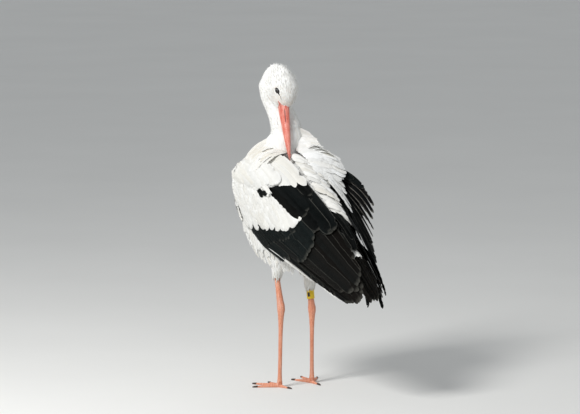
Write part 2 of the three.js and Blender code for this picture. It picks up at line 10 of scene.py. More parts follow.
import bmesh
import bpy
import numpy as np
from mathutils import Vector
from mathutils.bvhtree import BVHTree
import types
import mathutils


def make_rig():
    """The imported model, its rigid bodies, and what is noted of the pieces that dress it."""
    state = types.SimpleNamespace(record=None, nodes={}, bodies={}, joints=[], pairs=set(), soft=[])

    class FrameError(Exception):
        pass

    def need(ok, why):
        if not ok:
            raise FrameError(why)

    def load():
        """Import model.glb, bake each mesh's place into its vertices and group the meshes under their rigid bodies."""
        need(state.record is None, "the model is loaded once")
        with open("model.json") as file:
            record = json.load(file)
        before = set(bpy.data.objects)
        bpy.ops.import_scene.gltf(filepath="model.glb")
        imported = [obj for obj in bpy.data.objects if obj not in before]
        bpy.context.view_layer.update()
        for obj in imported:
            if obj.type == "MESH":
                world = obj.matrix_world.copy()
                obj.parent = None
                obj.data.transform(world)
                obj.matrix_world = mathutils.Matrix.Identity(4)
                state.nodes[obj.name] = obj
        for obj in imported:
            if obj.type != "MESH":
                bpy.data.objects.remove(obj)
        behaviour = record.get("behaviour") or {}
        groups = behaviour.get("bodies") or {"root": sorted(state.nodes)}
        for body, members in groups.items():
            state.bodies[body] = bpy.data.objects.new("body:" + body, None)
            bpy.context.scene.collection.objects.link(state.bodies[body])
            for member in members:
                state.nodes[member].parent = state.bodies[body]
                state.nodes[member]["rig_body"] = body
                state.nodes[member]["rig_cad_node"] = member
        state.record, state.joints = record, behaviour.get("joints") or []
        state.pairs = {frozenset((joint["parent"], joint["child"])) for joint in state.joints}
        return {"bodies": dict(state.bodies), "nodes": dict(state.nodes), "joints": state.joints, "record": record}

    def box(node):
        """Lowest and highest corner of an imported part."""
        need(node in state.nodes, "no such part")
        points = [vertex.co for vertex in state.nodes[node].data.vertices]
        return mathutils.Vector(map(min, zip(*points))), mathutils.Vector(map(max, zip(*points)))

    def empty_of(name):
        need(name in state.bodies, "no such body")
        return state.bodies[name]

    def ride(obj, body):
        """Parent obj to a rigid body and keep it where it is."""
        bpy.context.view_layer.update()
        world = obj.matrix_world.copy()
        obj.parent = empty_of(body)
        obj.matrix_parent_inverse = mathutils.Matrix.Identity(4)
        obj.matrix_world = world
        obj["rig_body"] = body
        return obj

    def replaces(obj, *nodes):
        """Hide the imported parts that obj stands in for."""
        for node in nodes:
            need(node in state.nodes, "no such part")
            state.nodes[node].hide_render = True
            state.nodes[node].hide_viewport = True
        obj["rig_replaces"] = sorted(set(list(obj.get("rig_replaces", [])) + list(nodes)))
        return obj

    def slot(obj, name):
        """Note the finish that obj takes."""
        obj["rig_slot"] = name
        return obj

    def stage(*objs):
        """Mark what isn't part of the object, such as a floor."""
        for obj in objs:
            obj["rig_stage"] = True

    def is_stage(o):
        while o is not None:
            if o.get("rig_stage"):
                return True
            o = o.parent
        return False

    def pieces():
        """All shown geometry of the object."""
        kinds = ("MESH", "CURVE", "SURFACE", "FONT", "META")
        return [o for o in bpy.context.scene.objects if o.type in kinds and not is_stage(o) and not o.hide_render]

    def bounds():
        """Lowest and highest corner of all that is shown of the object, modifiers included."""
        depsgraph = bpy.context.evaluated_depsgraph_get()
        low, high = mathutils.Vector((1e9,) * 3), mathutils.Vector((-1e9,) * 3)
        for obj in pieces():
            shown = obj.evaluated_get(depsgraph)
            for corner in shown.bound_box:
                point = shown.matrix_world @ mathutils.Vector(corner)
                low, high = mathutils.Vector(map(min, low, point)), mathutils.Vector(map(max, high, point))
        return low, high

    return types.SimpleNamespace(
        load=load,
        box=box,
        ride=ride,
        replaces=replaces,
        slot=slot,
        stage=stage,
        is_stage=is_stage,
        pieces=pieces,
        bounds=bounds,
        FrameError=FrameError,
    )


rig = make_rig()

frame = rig.load()
cad_box = [list(corner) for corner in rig.bounds()]


# ---------------------------------------------------------------- head, neck and trunk: the lie
# A stork's feathers lie from the bill over the head, down the neck and back along the trunk.
# The body's lines below are laid out in millimetres from the ground point between the feet, with
# the bird's left side at +X and its breast at -Y.

MM = 0.001

BILL_BASE = np.array([3, -58, 790.0])
BILL_WAY = np.array([0.13, 0.38, -0.915])
BILL_WAY /= np.linalg.norm(BILL_WAY)
CROWN_TURN = math.radians(-15)
CROWN = np.array([math.sin(CROWN_TURN), math.cos(CROWN_TURN), 0])
CROWN -= BILL_WAY * CROWN.dot(BILL_WAY)
CROWN /= np.linalg.norm(CROWN)
HEAD_RIGHT = np.cross(BILL_WAY, CROWN)
EYE = (-27, 7, 27)  # ahead, up and to the side of the bill's base

# The neck's middle from its foot on the trunk to the back of the skull.
NECK = np.array(
    [[-2, -72, 490], [-8, -84, 570], [-14, -81, 640], [-17, -70, 690], [-17, -72, 722]]
    + [[-12, -96, 770], [-4, -120, 812], [1, -124, 854], [0, -102, 882]],
    float,
)
# Each leg's joints, where its feathers end, and how many degrees its foot turns outwards.
LEGS = {
    "left": {"side": 1, "hip": [44, 2, 438], "feather_end": [54, -16, 311], "hock": [52, 1, 225]},
    "right": {"side": -1, "hip": [-44, 2, 438], "feather_end": [-52, -6, 270], "hock": [-52, 4, 213]},
}
LEGS["left"].update(ankle=[56, 0, 16], toe_out=26)
LEGS["right"].update(ankle=[-52, 4, 16], toe_out=14)


def on_head(ahead, up, right):
    """A point on the head: towards the bill's tip, towards the crown and to the bird's right."""
    parts = np.multiply.outer(ahead, BILL_WAY), np.multiply.outer(up, CROWN)
    return BILL_BASE + parts[0] + parts[1] + np.multiply.outer(right, HEAD_RIGHT)


eye_low, eye_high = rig.box("eye_right")
ORIGIN = np.array((eye_low + eye_high) / 2) / MM - on_head(*EYE)


def placed(points):
    """Points of the bird's own layout in the row frame, in metres."""
    return (np.asarray(points) + ORIGIN) * MM


def unit(vectors):
    return vectors / np.maximum(np.linalg.norm(vectors, axis=-1, keepdims=True), 1e-12)


def key_weights(count, t):
    """How much each of some evenly spaced keys counts at t, from 0 to 1, on a smooth curve."""
    place = np.clip(t, 0, 1) * (count - 1)
    first = np.minimum(np.floor(place), count - 2).astype(int)
    x = place - first
    parts = [
        (-(x**3) + 2 * x**2 - x) / 2,
        (3 * x**3 - 5 * x**2 + 2) / 2,
        (-3 * x**3 + 4 * x**2 + x) / 2,
        (x**3 - x**2) / 2,
    ]
    weights = np.zeros((*np.shape(place), count + 2))
    for offset, part in enumerate(parts):
        np.put_along_axis(weights, (first + offset)[..., None], part[..., None], -1)
    weights[..., 1] += 2 * weights[..., 0]
    weights[..., 2] -= weights[..., 0]
    weights[..., -2] += 2 * weights[..., -1]
    weights[..., -3] -= weights[..., -1]
    return weights[..., 1:-1]


def smooth(keys, t):
    keys = np.asarray(keys, float)
    return key_weights(len(keys), np.asarray(t, float)) @ keys


def step_up(x, low, high):
    """0 below low, 1 above high, and a soft rise between."""
    share = np.clip((x - low) / (high - low), 0, 1)
    return share * share * (3 - 2 * share)


# ---------------------------------------------------------------- skin
# Under the plumage a stork's skin is thin, loose and pale pink, one sheet from the face to the
# thighs, and scaly and orange-red on the bare legs. The solids of the flesh are melted into one
# surface, which is eased and then sunk by the depth of the plumage.

FLESH = ["trunk", "neck_lower", "neck_upper", "head", "wing_left_arm", "wing_right_arm"]
FLESH += ["leg_left_thigh", "leg_right_thigh"]
COAT_DEPTH = {"head": 1.5, "neck_upper": 2.0, "neck_lower": 3.4, "trunk": 7, "arm": 4, "thigh": 4}
MELT = 3.5  # width in millimetres of the cells that the solids are melted in


def mesh_of(name, points, faces, material=None, smooth_shading=True):
    """A mesh object of triangles, from arrays of points in metres and of corners."""
    mesh = bpy.data.meshes.new(name)
    faces = np.asarray(faces, np.int32)
    mesh.vertices.add(len(points))
    mesh.vertices.foreach_set("co", np.asarray(points, np.float32).ravel())
    mesh.loops.add(faces.size)
    mesh.loops.foreach_set("vertex_index", faces.ravel())
    mesh.polygons.add(len(faces))
    mesh.polygons.foreach_set("loop_start", np.arange(0, faces.size, faces.shape[1], dtype=np.int32))
    mesh.polygons.foreach_set("use_smooth", np.full(len(faces), smooth_shading))
    mesh.update(calc_edges=True)
    if material:
        mesh.materials.append(material)
    made = bpy.data.objects.new(name, mesh)
    bpy.context.scene.collection.objects.link(made)
    return made


def arrays_of(mesh):
    """A mesh's points, the corners of its triangles and the normals of its points."""
    mesh.calc_loop_triangles()
    points = np.zeros(len(mesh.vertices) * 3)
    mesh.vertices.foreach_get("co", points)
    faces = np.zeros(len(mesh.loop_triangles) * 3, np.int32)
    mesh.loop_triangles.foreach_get("vertices", faces)
    normals = np.zeros(len(mesh.vertices) * 3)
    mesh.vertices.foreach_get("normal", normals)
    return points.reshape(-1, 3), faces.reshape(-1, 3), normals.reshape(-1, 3)


def node_arrays(names):
    """Points and triangles of some of the solids, as one."""
    points, faces, count = [], [], 0
    for name in names:
        own_points, own_faces, _ = arrays_of(frame["nodes"][name].data)
        points.append(own_points)
        faces.append(own_faces + count)
        count += len(own_points)
    return np.concatenate(points), np.concatenate(faces)


def tree_of(names):
    points, faces = node_arrays(names)
    return BVHTree.FromPolygons(points.tolist(), faces.tolist())


def wrap_of(points):
    """The tight convex wrap round some points, as points and triangles."""
    wrap = bmesh.new()
    for point in points.tolist():
        wrap.verts.new(point)
    bmesh.ops.convex_hull(wrap, input=wrap.verts)
    loose = [corner for corner in wrap.verts if not corner.link_faces]
    bmesh.ops.delete(wrap, geom=loose, context="VERTS")
    bmesh.ops.triangulate(wrap, faces=wrap.faces)
    mesh = bpy.data.meshes.new("wrap")
    wrap.to_mesh(mesh)
    wrap.free()
    points, faces, _ = arrays_of(mesh)
    bpy.data.meshes.remove(mesh)
    return points, faces


def biggest_part(points, faces):
    """The largest of the separate surfaces in a mesh."""
    label = np.arange(len(points))
    while True:
        lowest = label[faces].min(1)
        before = label.copy()
        for corner in range(3):
            np.minimum.at(label, faces[:, corner], lowest)
        label = label[label]
        if (label == before).all():
            break
    main = np.bincount(label[faces[:, 0]]).argmax()
    keep = label == main
    renumber = np.cumsum(keep) - 1
    return points[keep], renumber[faces[keep[faces[:, 0]]]]


def eased(points, faces, rounds, pull=0.5, push=-0.53):
    """Smooths a surface by turns inwards and outwards, so that it keeps its size. With a push
    above nothing it shrinks into its hollows instead."""
    pairs = np.unique(np.sort(np.concatenate([faces[:, [0, 1]], faces[:, [1, 2]], faces[:, [2, 0]]])), axis=0)
    both = np.concatenate([pairs, pairs[:, ::-1]])
    count = np.bincount(both[:, 0], minlength=len(points))[:, None]
    for turn in range(rounds * 2):
        total = np.stack(
            [np.bincount(both[:, 0], points[both[:, 1], axis], len(points)) for axis in range(3)], 1
        )
        points = points + (pull if turn % 2 == 0 else push) * (total / count - points)
    return points


def point_normals(points, faces):
    flat = np.cross(points[faces[:, 1]] - points[faces[:, 0]], points[faces[:, 2]] - points[faces[:, 0]])
    total = np.stack(
        [
            sum(np.bincount(faces[:, corner], flat[:, axis], len(points)) for corner in range(3))
            for axis in range(3)
        ],
        1,
    )
    return unit(total)


def melted(points, faces, cell, rounds):
    """Closed surfaces run together into one smooth one, as points and triangles."""
    lump = mesh_of("lump", points, faces)
    remesh = lump.modifiers.new("melt", "REMESH")
    remesh.mode = "VOXEL"
    remesh.voxel_size = cell * MM
    evaluated = lump.evaluated_get(bpy.context.evaluated_depsgraph_get())
    points, faces = biggest_part(*arrays_of(evaluated.to_mesh())[:2])
    bpy.data.objects.remove(lump)
    return eased(points, faces, rounds), faces


def filled(points, faces, rounds):
    """The surface with its creases and dents filled, as feathers bridge them."""
    slack = eased(points, faces, rounds, push=0.5)
    normals = point_normals(points, faces)
    outward = np.maximum(((slack - points) * normals).sum(1), 0)
    return eased(points + normals * outward[:, None], faces, 3)


# Seen from above and from the side, crown and nape are one smooth egg: the neck's last bend lies
# close under the feathers of the head.
NAPE_LEVEL = 784  # height above which the neck is part of the egg
CRANIUM = (-50, 13, 0)  # the middle of the raised feathers of the crown
CRANIUM_SIZE = (60, 39, 34)
OUTLINE_EASING = 9  # rounds of smoothing
BRIDGING = 40  # rounds of smoothing that show where feathers bridge a crease

body_points, body_faces = node_arrays(FLESH)
egg = node_arrays(["head", "neck_upper"])[0]
a, b = np.meshgrid(np.linspace(0, math.pi, 20), np.linspace(0, 2 * math.pi, 40))
ball = np.stack([np.cos(a), np.sin(a) * np.cos(b), np.sin(a) * np.sin(b)], -1).reshape(-1, 3)
ball = placed(on_head(*(ball * CRANIUM_SIZE + CRANIUM).T))
egg_points, egg_faces = wrap_of(np.concatenate([egg[(egg / MM - ORIGIN)[:, 2] > NAPE_LEVEL], ball]))
outline_points, outline_faces = melted(
    np.concatenate([body_points, egg_points]),
    np.concatenate([body_faces, egg_faces + len(body_points)]),
    MELT,
    OUTLINE_EASING,
)
outline_points = filled(outline_points, outline_faces, BRIDGING)

# The feathers of the crown lie closer towards its top, so that the egg narrows there.
CROWN_AXIS = np.array([-5.4, -93.9, 0])
CROWN_DEEP = 60  # how far down from the top it narrows
CROWN_PULL = 0.43  # how far the sides come in at the top, as a part of their distance
CROWN_ROUND = 0.6  # below 1 keeps the narrowing near the top
CROWN_LENGTHWISE = 0.5  # how much of it is also taken off front and back
ACROSS_CROWN = np.array([-0.819, 0.574, 0])
THROUGH_CROWN = np.array([0.574, 0.819, 0])
stance = outline_points / MM - ORIGIN
under_top = np.clip((stance[:, 2].max() - stance[:, 2]) / CROWN_DEEP, 0, 1)
narrow = CROWN_PULL * (1 - under_top**CROWN_ROUND)[:, None]
beside_axis = (stance - CROWN_AXIS) @ np.stack([ACROSS_CROWN, THROUGH_CROWN], 1)
shift = beside_axis[:, :1] * ACROSS_CROWN + CROWN_LENGTHWISE * beside_axis[:, 1:] * THROUGH_CROWN
outline_points = eased(outline_points - shift * narrow * MM, outline_faces, 4)
outline_tree = BVHTree.FromPolygons(outline_points.tolist(), outline_faces.tolist())

REGIONS = {
    "head": ["head"],
    "neck_upper": ["neck_upper"],
    "neck_lower": ["neck_lower"],
    "trunk": ["trunk"],
    "arm": ["wing_left_arm", "wing_right_arm"],
    "thigh": ["leg_left_thigh", "leg_right_thigh"],
}
REGION_TREES = [tree_of(names) for names in REGIONS.values()]
REGION_BLEND = 7 * MM  # how softly one region passes into the next


def region_shares(points):
    """How far each point belongs to each region of the body, as rows that add up to 1."""
    gaps = np.array([[tree.find_nearest(p)[3] for tree in REGION_TREES] for p in points.tolist()])
    shares = np.exp(-(gaps - gaps.min(1, keepdims=True)) / REGION_BLEND)
    return shares / shares.sum(1, keepdims=True)


BREAST_TO_BACK = (-175, -40)  # the way turns from the breast's to the back's between these
BREAST_WAY = np.array([0, 0.1, -1.0])
BACK_WAY = unit(np.array([0, 1, -0.42]))
THIGH_WAY = unit(np.array([0.0, -0.12, -1]))
NECK_SHARES = np.linspace(1, 0, 60)
NECK_PATH = smooth(NECK, NECK_SHARES)
NECK_WAY = unit(smooth(NECK, NECK_SHARES - 0.01) - smooth(NECK, NECK_SHARES + 0.01))


def nearest_on_neck(stance):
    """The place on the neck's path that is nearest to each point."""
    return ((stance[:, None] - NECK_PATH[None]) ** 2).sum(-1).argmin(1)


def lie_of(points, shares):
    """The way that the plumage lies at each point: along the head, down the neck, back and down."""
    stance = points / MM - ORIGIN
    down_neck = NECK_WAY[nearest_on_neck(stance)]
    turn = step_up(stance[:, 1], *BREAST_TO_BACK)[:, None]
    along_trunk = BACK_WAY * turn + BREAST_WAY * (1 - turn)
    down_leg = np.tile(THIGH_WAY, (len(points), 1))
    ways = [np.tile(-BILL_WAY, (len(points), 1)), down_neck, down_neck, along_trunk, along_trunk, down_leg]
    return unit(sum(share[:, None] * way for share, way in zip(shares.T, ways)))


FACE_COAT = (0.55, 0.45)  # the part of its depth that the coat has at the face, and gains behind it
FACE_REACH = (14, 52)  # how far from the face it starts to gain, and has all its depth


def sunk(points, shares):
    """How deep the skin lies under the plumage at each point, in metres."""
    depth = shares @ np.array(list(COAT_DEPTH.values()))
    face = np.linalg.norm(points / MM - ORIGIN - on_head(-6, 2, 0), axis=1)
    return depth * (FACE_COAT[0] + FACE_COAT[1] * step_up(face, *FACE_REACH)) * MM


outline_shares = region_shares(outline_points)
outline_normals = point_normals(outline_points, outline_faces)
sink = sunk(outline_points, outline_shares)
skin_points = eased(outline_points - outline_normals * sink[:, None], outline_faces, 2)


def paint(code):
    """An sRGB hex colour as the linear RGBA that the shaders take."""
    channels = [int(code[i : i + 2], 16) / 255 for i in (0, 2, 4)]
    linear = [c / 12.92 if c <= 0.04045 else ((c + 0.055) / 1.055) ** 2.4 for c in channels]
    return (*linear, 1)


def substance(name):
    """A new material with only its shader and output, as (material, tree, shader)."""
    made = bpy.data.materials.new(name)
    made.use_nodes = True
    return made, made.node_tree, made.node_tree.nodes["Principled BSDF"]


def feed(made, inputs):
    """Gives a node its inputs: numbers, hex colours, or outputs of other nodes to link."""
    for key, value in inputs.items():
        if isinstance(value, bpy.types.NodeSocket):
            made.id_data.links.new(value, made.inputs[key])
        else:
            made.inputs[key].default_value = paint(value) if isinstance(value, str) else value


def node(tree, kind, inputs=None, out=0, stops=(), **settings):
    """Adds one node and gives the output that out names, or several for a slice. stops are the
    places and colours of a ramp."""
    made = tree.nodes.new("ShaderNode" + kind)
    for key, value in settings.items():
        setattr(made, key, value)
    for _ in stops[2:]:
        made.color_ramp.elements.new(1)
    for element, (place, code) in zip(made.color_ramp.elements if stops else (), stops):
        element.position = place
        element.color = paint(code)
    feed(made, inputs or {})
    return made.outputs[out]


MIX = {"out": 2, "data_type": "RGBA"}  # a Mix node's settings and output for colours
XYZ = slice(3)

# Bare skin under down: thin and matt, pale pink with a bloom of white powder from the down.
down_skin, tree, shader = substance("powdered_pink_skin")
place = node(tree, "TexCoord", out="Object")
bloom = node(tree, "TexNoise", {"Vector": place, "Scale": 1 / 0.009, "Detail": 5})
tint = node(tree, "Mix", {0: bloom, 6: "E9DDD2", 7: "F3EFE8"}, **MIX)
pores = node(tree, "TexVoronoi", {"Vector": place, "Scale": 1 / 0.0022})
relief = node(tree, "Bump", {"Height": pores, "Strength": 0.35, "Distance": 0.0004})
feed(shader, {"Base Color": tint, "Normal": relief, "Roughness": 0.8, "Specular IOR Level": 0.3})

# Scaly skin of the shanks and feet: horny scales the colour of coral, satin, with painted shade
# that darkens the grooves between them, and dusty white stains that run down from above.
leg_skin, tree, shader = substance("coral_scaled_skin")
place = node(tree, "TexCoord", out="Object")
scales = node(tree, "Attribute", out="Vector", attribute_name="scales")
net = node(tree, "TexVoronoi", {"Vector": scales, "Scale": 1}, feature="DISTANCE_TO_EDGE")
groove = node(tree, "MapRange", {0: net, 1: 0.0, 2: 0.1, 3: 0.0, 4: 1.0})
blush = node(tree, "TexNoise", {"Vector": place, "Scale": 1 / 0.03, "Detail": 4})
coral = node(tree, "Mix", {0: blush, 6: "DB7C5A", 7: "F0B595"}, **MIX)
# Painted shade: a darker coral in the grooves between the scales.
grooved = node(tree, "Mix", {0: groove, 6: "C4704F", 7: coral}, **MIX)
streaks = node(tree, "Mapping", {"Vector": place, "Scale": (160, 160, 14)})
dust = node(tree, "TexNoise", {"Vector": streaks, "Scale": 1, "Detail": 6, "Roughness": 0.6})
dusty = node(tree, "MapRange", {0: dust, 1: 0.52, 2: 0.78, 3: 0.0, 4: 0.75})
stained = node(tree, "Mix", {0: dusty, 6: grooved, 7: "E6C3B4"}, **MIX)
relief = node(tree, "Bump", {"Height": groove, "Strength": 0.6, "Distance": 0.0005})
worn = node(tree, "MapRange", {0: dust, 1: 0.3, 2: 0.7, 3: 0.42, 4: 0.66})
feed(shader, {"Base Color": stained, "Normal": relief, "Roughness": worn})

# Bare skin round the eye: black, leathery, with fine creases that ring the lids.
eye_skin, tree, shader = substance("black_creased_skin")
place = node(tree, "TexCoord", out="Object")
creases = node(tree, "TexNoise", {"Vector": place, "Scale": 1 / 0.0009, "Detail": 3})
tint = node(tree, "Mix", {0: creases, 6: "0B0B0D", 7: "2A2827"}, **MIX)
relief = node(tree, "Bump", {"Height": creases, "Strength": 0.5, "Distance": 0.0003})
feed(shader, {"Base Color": tint, "Normal": relief, "Roughness": 0.5})

# The bare legs: the shank, hock, tarsus and toes, melted finely. Their scales are raised domes
# round the bone, and broad plates across the top of each toe.
LEG_CELL = 1.25  # width of the cells that they are melted in
LEG_EASING = 5
SCALES_ROUND = 12  # scales round the bone
SCALE_WIDTH = 3.0
SCALE_RISE = 0.3
GROOVE_SHARE = 0.6  # the part of a scale's rise that lies under the bare surface
PLATE_LENGTH = 4.2
TOE_ROOT = 20  # height under which the foot's plates take over from the leg's scales
TOE_SLOPE = 0.35  # how fast that height falls towards the toes


def scale_places(stance, leg):
    """Where each point of a leg lies on its net of scales, counted in scales."""
    out = np.linalg.norm((stance - (*leg["ankle"][:2], 0))[:, :2], axis=1)
    joints = np.array([leg["ankle"], leg["hock"], leg["feather_end"]], float)
    axis = [np.interp(stance[:, 2], joints[:, 2], joints[:, way]) for way in (0, 1)]
    around = np.arctan2(stance[:, 1] - axis[1], stance[:, 0] - axis[0])
    flat = np.zeros(len(out))
    on_shin = np.stack([around * SCALES_ROUND / (2 * math.pi), stance[:, 2] / SCALE_WIDTH, flat], 1)
    on_toe = np.stack([flat + 0.5, out / PLATE_LENGTH, flat], 1)
    foot = stance[:, 2] < TOE_ROOT - TOE_SLOPE * np.minimum(out, 20)
    return np.where(foot[:, None], on_toe, on_shin), foot


def scale_height(places, foot):
    """How far each point stands up on its scale, from 0 in a groove to 1 on a crown."""
    shift = np.where(foot, 0, 0.5 * (np.floor(places[:, 1]) % 2))
    across = np.where(foot, 0, np.abs((places[:, 0] + shift) % 1 - 0.5))
    ahead = np.abs(places[:, 1] % 1 - 0.5)
    return 1 - np.clip(np.maximum(across, ahead) * 2, 0, 1) ** 4


leg_parts = []
for name, leg in LEGS.items():
    bones = [f"leg_{name}_{part}" for part in ("shank", "tarsus", "foot")]
    points, faces = melted(*node_arrays(bones), LEG_CELL, LEG_EASING)
    stance = points / MM - ORIGIN
    places, foot = scale_places(stance, leg)
    rise = (scale_height(places, foot) - GROOVE_SHARE) * SCALE_RISE * step_up(stance[:, 2], 0.4, 3)
    points = points + point_normals(points, faces) * rise[:, None] * MM
    leg_parts.append((points, faces, places, 1))

# The lids and the bare skin that runs from them towards the gape: a fine sheet over the eyeball
# that opens in an almond and eases into the cheek.
EYE_SEAT = (-34, 8.5)  # ahead of the bill's base and up from it
EYE_RADIUS = 8.6
EYE_BULGE = 3.5  # how far the eyeball stands out of the skin
LID_THICKNESS = 0.8
LID_OPENING = (5.8, 3.7)  # half its length and half its height
LID_CREASE = 0.16  # height of the creases that ring it
LID_TUCK = (1.2, 0.15)  # how deep its inner edge is drawn in, and how close it lies on the eyeball
LID_EDGE = (0.35, 1.6)  # how far it stands off the cheek, and how deep its outer edge goes in
LORE = {"ahead": 28.0, "behind": 10.0, "up": 6.8, "down": 6.0}
LID_SLANT = 0.24
LID_RINGS = 16
LID_STEPS = 56

skin_tree = BVHTree.FromPolygons(skin_points.tolist(), outline_faces.tolist())


def cheek_height(side, ahead, up):
    """How far to the side the skin of the head lies at a place on its profile."""
    start = placed(on_head(ahead, up, side * 70))
    hit = skin_tree.ray_cast(Vector(start), Vector(-side * HEAD_RIGHT))[0]
    return float((np.array(hit) / MM - ORIGIN - BILL_BASE) @ HEAD_RIGHT) * side if hit else 0.0


# How far to the side the middle of each eyeball lies.
seats = {side: cheek_height(side, *EYE_SEAT) - EYE_RADIUS + EYE_BULGE for side in (1, -1)}


def lore_taper(ahead):
    """How high the bare skin is ahead of the eye, as a part of its height over the lids."""
    return 1 - 0.6 * step_up(ahead, 5, 14)


def tube_faces(rings, steps, closed=True):
    """The triangles of a tube of rings of points. Where it is closed, two hubs follow the rings."""
    row, step = np.meshgrid(np.arange(rings - 1), np.arange(steps), indexing="ij")
    a = (row * steps + step).ravel()
    b = (row * steps + (step + 1) % steps).ravel()
    near = np.arange(steps)
    far = near + (rings - 1) * steps
    hub = np.full(steps, rings * steps)
    walls = [np.stack([a, b, a + steps], 1), np.stack([b, b + steps, a + steps], 1)]
    ends = [np.stack([hub, np.roll(near, -1), near], 1), np.stack([hub + 1, far, np.roll(far, -1)], 1)]
    return np.concatenate(walls + ends if closed else walls)


def lid_part(side):
    """The lids and lore of one eye, as points and triangles."""
    angles = np.linspace(0, 2 * math.pi, LID_STEPS, endpoint=False)
    reach_up = np.where(np.sin(angles) > 0, LORE["up"], LORE["down"])
    outer = LORE["behind"] + (LORE["ahead"] - LORE["behind"]) * np.maximum(np.cos(angles), 0) ** 5
    rows = []
    for ring in range(-2, LID_RINGS):
        share = max(ring, 0) / (LID_RINGS - 1)
        ahead = np.cos(angles) * ((1 - share) * LID_OPENING[0] + share * outer)
        up = np.sin(angles) * ((1 - share) * LID_OPENING[1] + share * reach_up)
        up = up * lore_taper(ahead) + LID_SLANT * ahead
        crease = LID_CREASE * math.sin(ring * 2.1) * share * (1 - share) * 4
        shell = EYE_RADIUS + (LID_TUCK[1] if ring < 0 else LID_THICKNESS * (0.75 + 0.25 * share) + crease)
        lie = np.sqrt(np.maximum(shell**2 - np.hypot(ahead, up) ** 2, 0)) + seats[side]
        if ring == -2:
            lie = lie - LID_TUCK[0]
        if ring >= 0:
            profile = zip(EYE_SEAT[0] + ahead, EYE_SEAT[1] + up)
            cheek = np.array([cheek_height(side, *place) for place in profile])
            lie = np.maximum(lie, cheek + (LID_EDGE[0] - LID_EDGE[1] * share**6))
        rows.append(on_head(EYE_SEAT[0] + ahead, EYE_SEAT[1] + up, side * lie))
    faces = tube_faces(len(rows), LID_STEPS, closed=False)
    return placed(np.concatenate(rows)), faces[:, ::-1] if side > 0 else faces


def store(piece, name, values):
    """Keeps a number or a vector for each point of a mesh, for its material to read."""
    kind, field = ("FLOAT_VECTOR", "vector") if np.ndim(values) > 1 else ("FLOAT", "value")
    layer = piece.data.attributes.new(name, kind, "POINT")
    layer.data.foreach_set(field, np.asarray(values, np.float32).ravel())


parts = [(skin_points, outline_faces, np.zeros((len(skin_points), 3)), 0), *leg_parts]
for side in (1, -1):
    points, faces = lid_part(side)
    parts.append((points, faces, np.zeros((len(points), 3)), 2))
starts = np.cumsum([0] + [len(part[0]) for part in parts])
skin = mesh_of(
    "skin",
    np.concatenate([part[0] for part in parts]),
    np.concatenate([part[1] + start for part, start in zip(parts, starts)]),
)
for material in (down_skin, leg_skin, eye_skin):
    skin.data.materials.append(material)
skin.data.polygons.foreach_set("material_index", np.repeat([p[3] for p in parts], [len(p[1]) for p in parts]))
store(skin, "scales", np.concatenate([part[2] for part in parts]))
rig.ride(skin, "root")
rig.slot(skin, "leg_skin")
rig.replaces(skin, *FLESH)
for name in LEGS:
    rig.replaces(skin, *[f"leg_{name}_{part}" for part in ("shank", "tarsus", "foot")])


# ---------------------------------------------------------------- body plumage
# Contour feathers: a curved shaft with two soft webs of barbs, rooted in the skin and lapped like
# tiles. They are shortest at the bill, long and pointed at the base of the neck, and downy on the
# belly and thighs. White from keratin full of air, a little stained by earth and preen oil.

dice = np.random.default_rng(17)


def vanes(centre, side, up, half_width, across, shares, camber, thickness, edges=None):
    """Closed vanes along centrelines of shape (count, stations): their points, their triangles and
    each point's share across and along the vane. shares holds the stations' own, from 0 to 1."""
    count, stations = half_width.shape
    across = np.array(across, float)
    ring = np.concatenate([across, across[-2:0:-1]])
    face = np.where(np.arange(len(ring)) < len(across), 1, -1)
    width = half_width[:, 1:-1, None]
    if edges is not None:
        width = width * np.where(ring < 0, edges[:, 1:-1, :1], edges[:, 1:-1, 1:])
    bow = 1 - ring**2
    lift = camber * half_width[:, 1:-1, None] * bow + thickness * bow * face
    body = (
        centre[:, 1:-1, None]
        + side[:, 1:-1, None] * (ring * width)[..., None]
        + up[:, 1:-1, None] * lift[..., None]
    )
    points = np.concatenate([centre[:, :1], body.reshape(count, -1, 3), centre[:, -1:]], 1)
    rings, size = stations - 2, len(ring)
    row, step = np.meshgrid(np.arange(rings - 1), np.arange(size), indexing="ij")
    a = (1 + row * size + step).ravel()
    b = (1 + row * size + (step + 1) % size).ravel()
    near = 1 + np.arange(size)
    far = near + (rings - 1) * size
    last = np.full(size, 1 + rings * size)
    walls = [np.stack([a, b, b + size], 1), np.stack([a, b + size, a + size], 1)]
    ends = [np.stack([last * 0, np.roll(near, -1), near], 1), np.stack([last, far, np.roll(far, -1)], 1)]
    faces = np.concatenate(walls + ends) + (np.arange(count) * points.shape[1])[:, None, None]
    over = np.concatenate([[0], np.tile(ring, rings), [0]])
    along = np.concatenate([[0], np.repeat(shares[1:-1], size), [1]])
    return points, faces.reshape(-1, 3), over, along


PATCH = 0.003  # width of each feather's patch on the map for baking


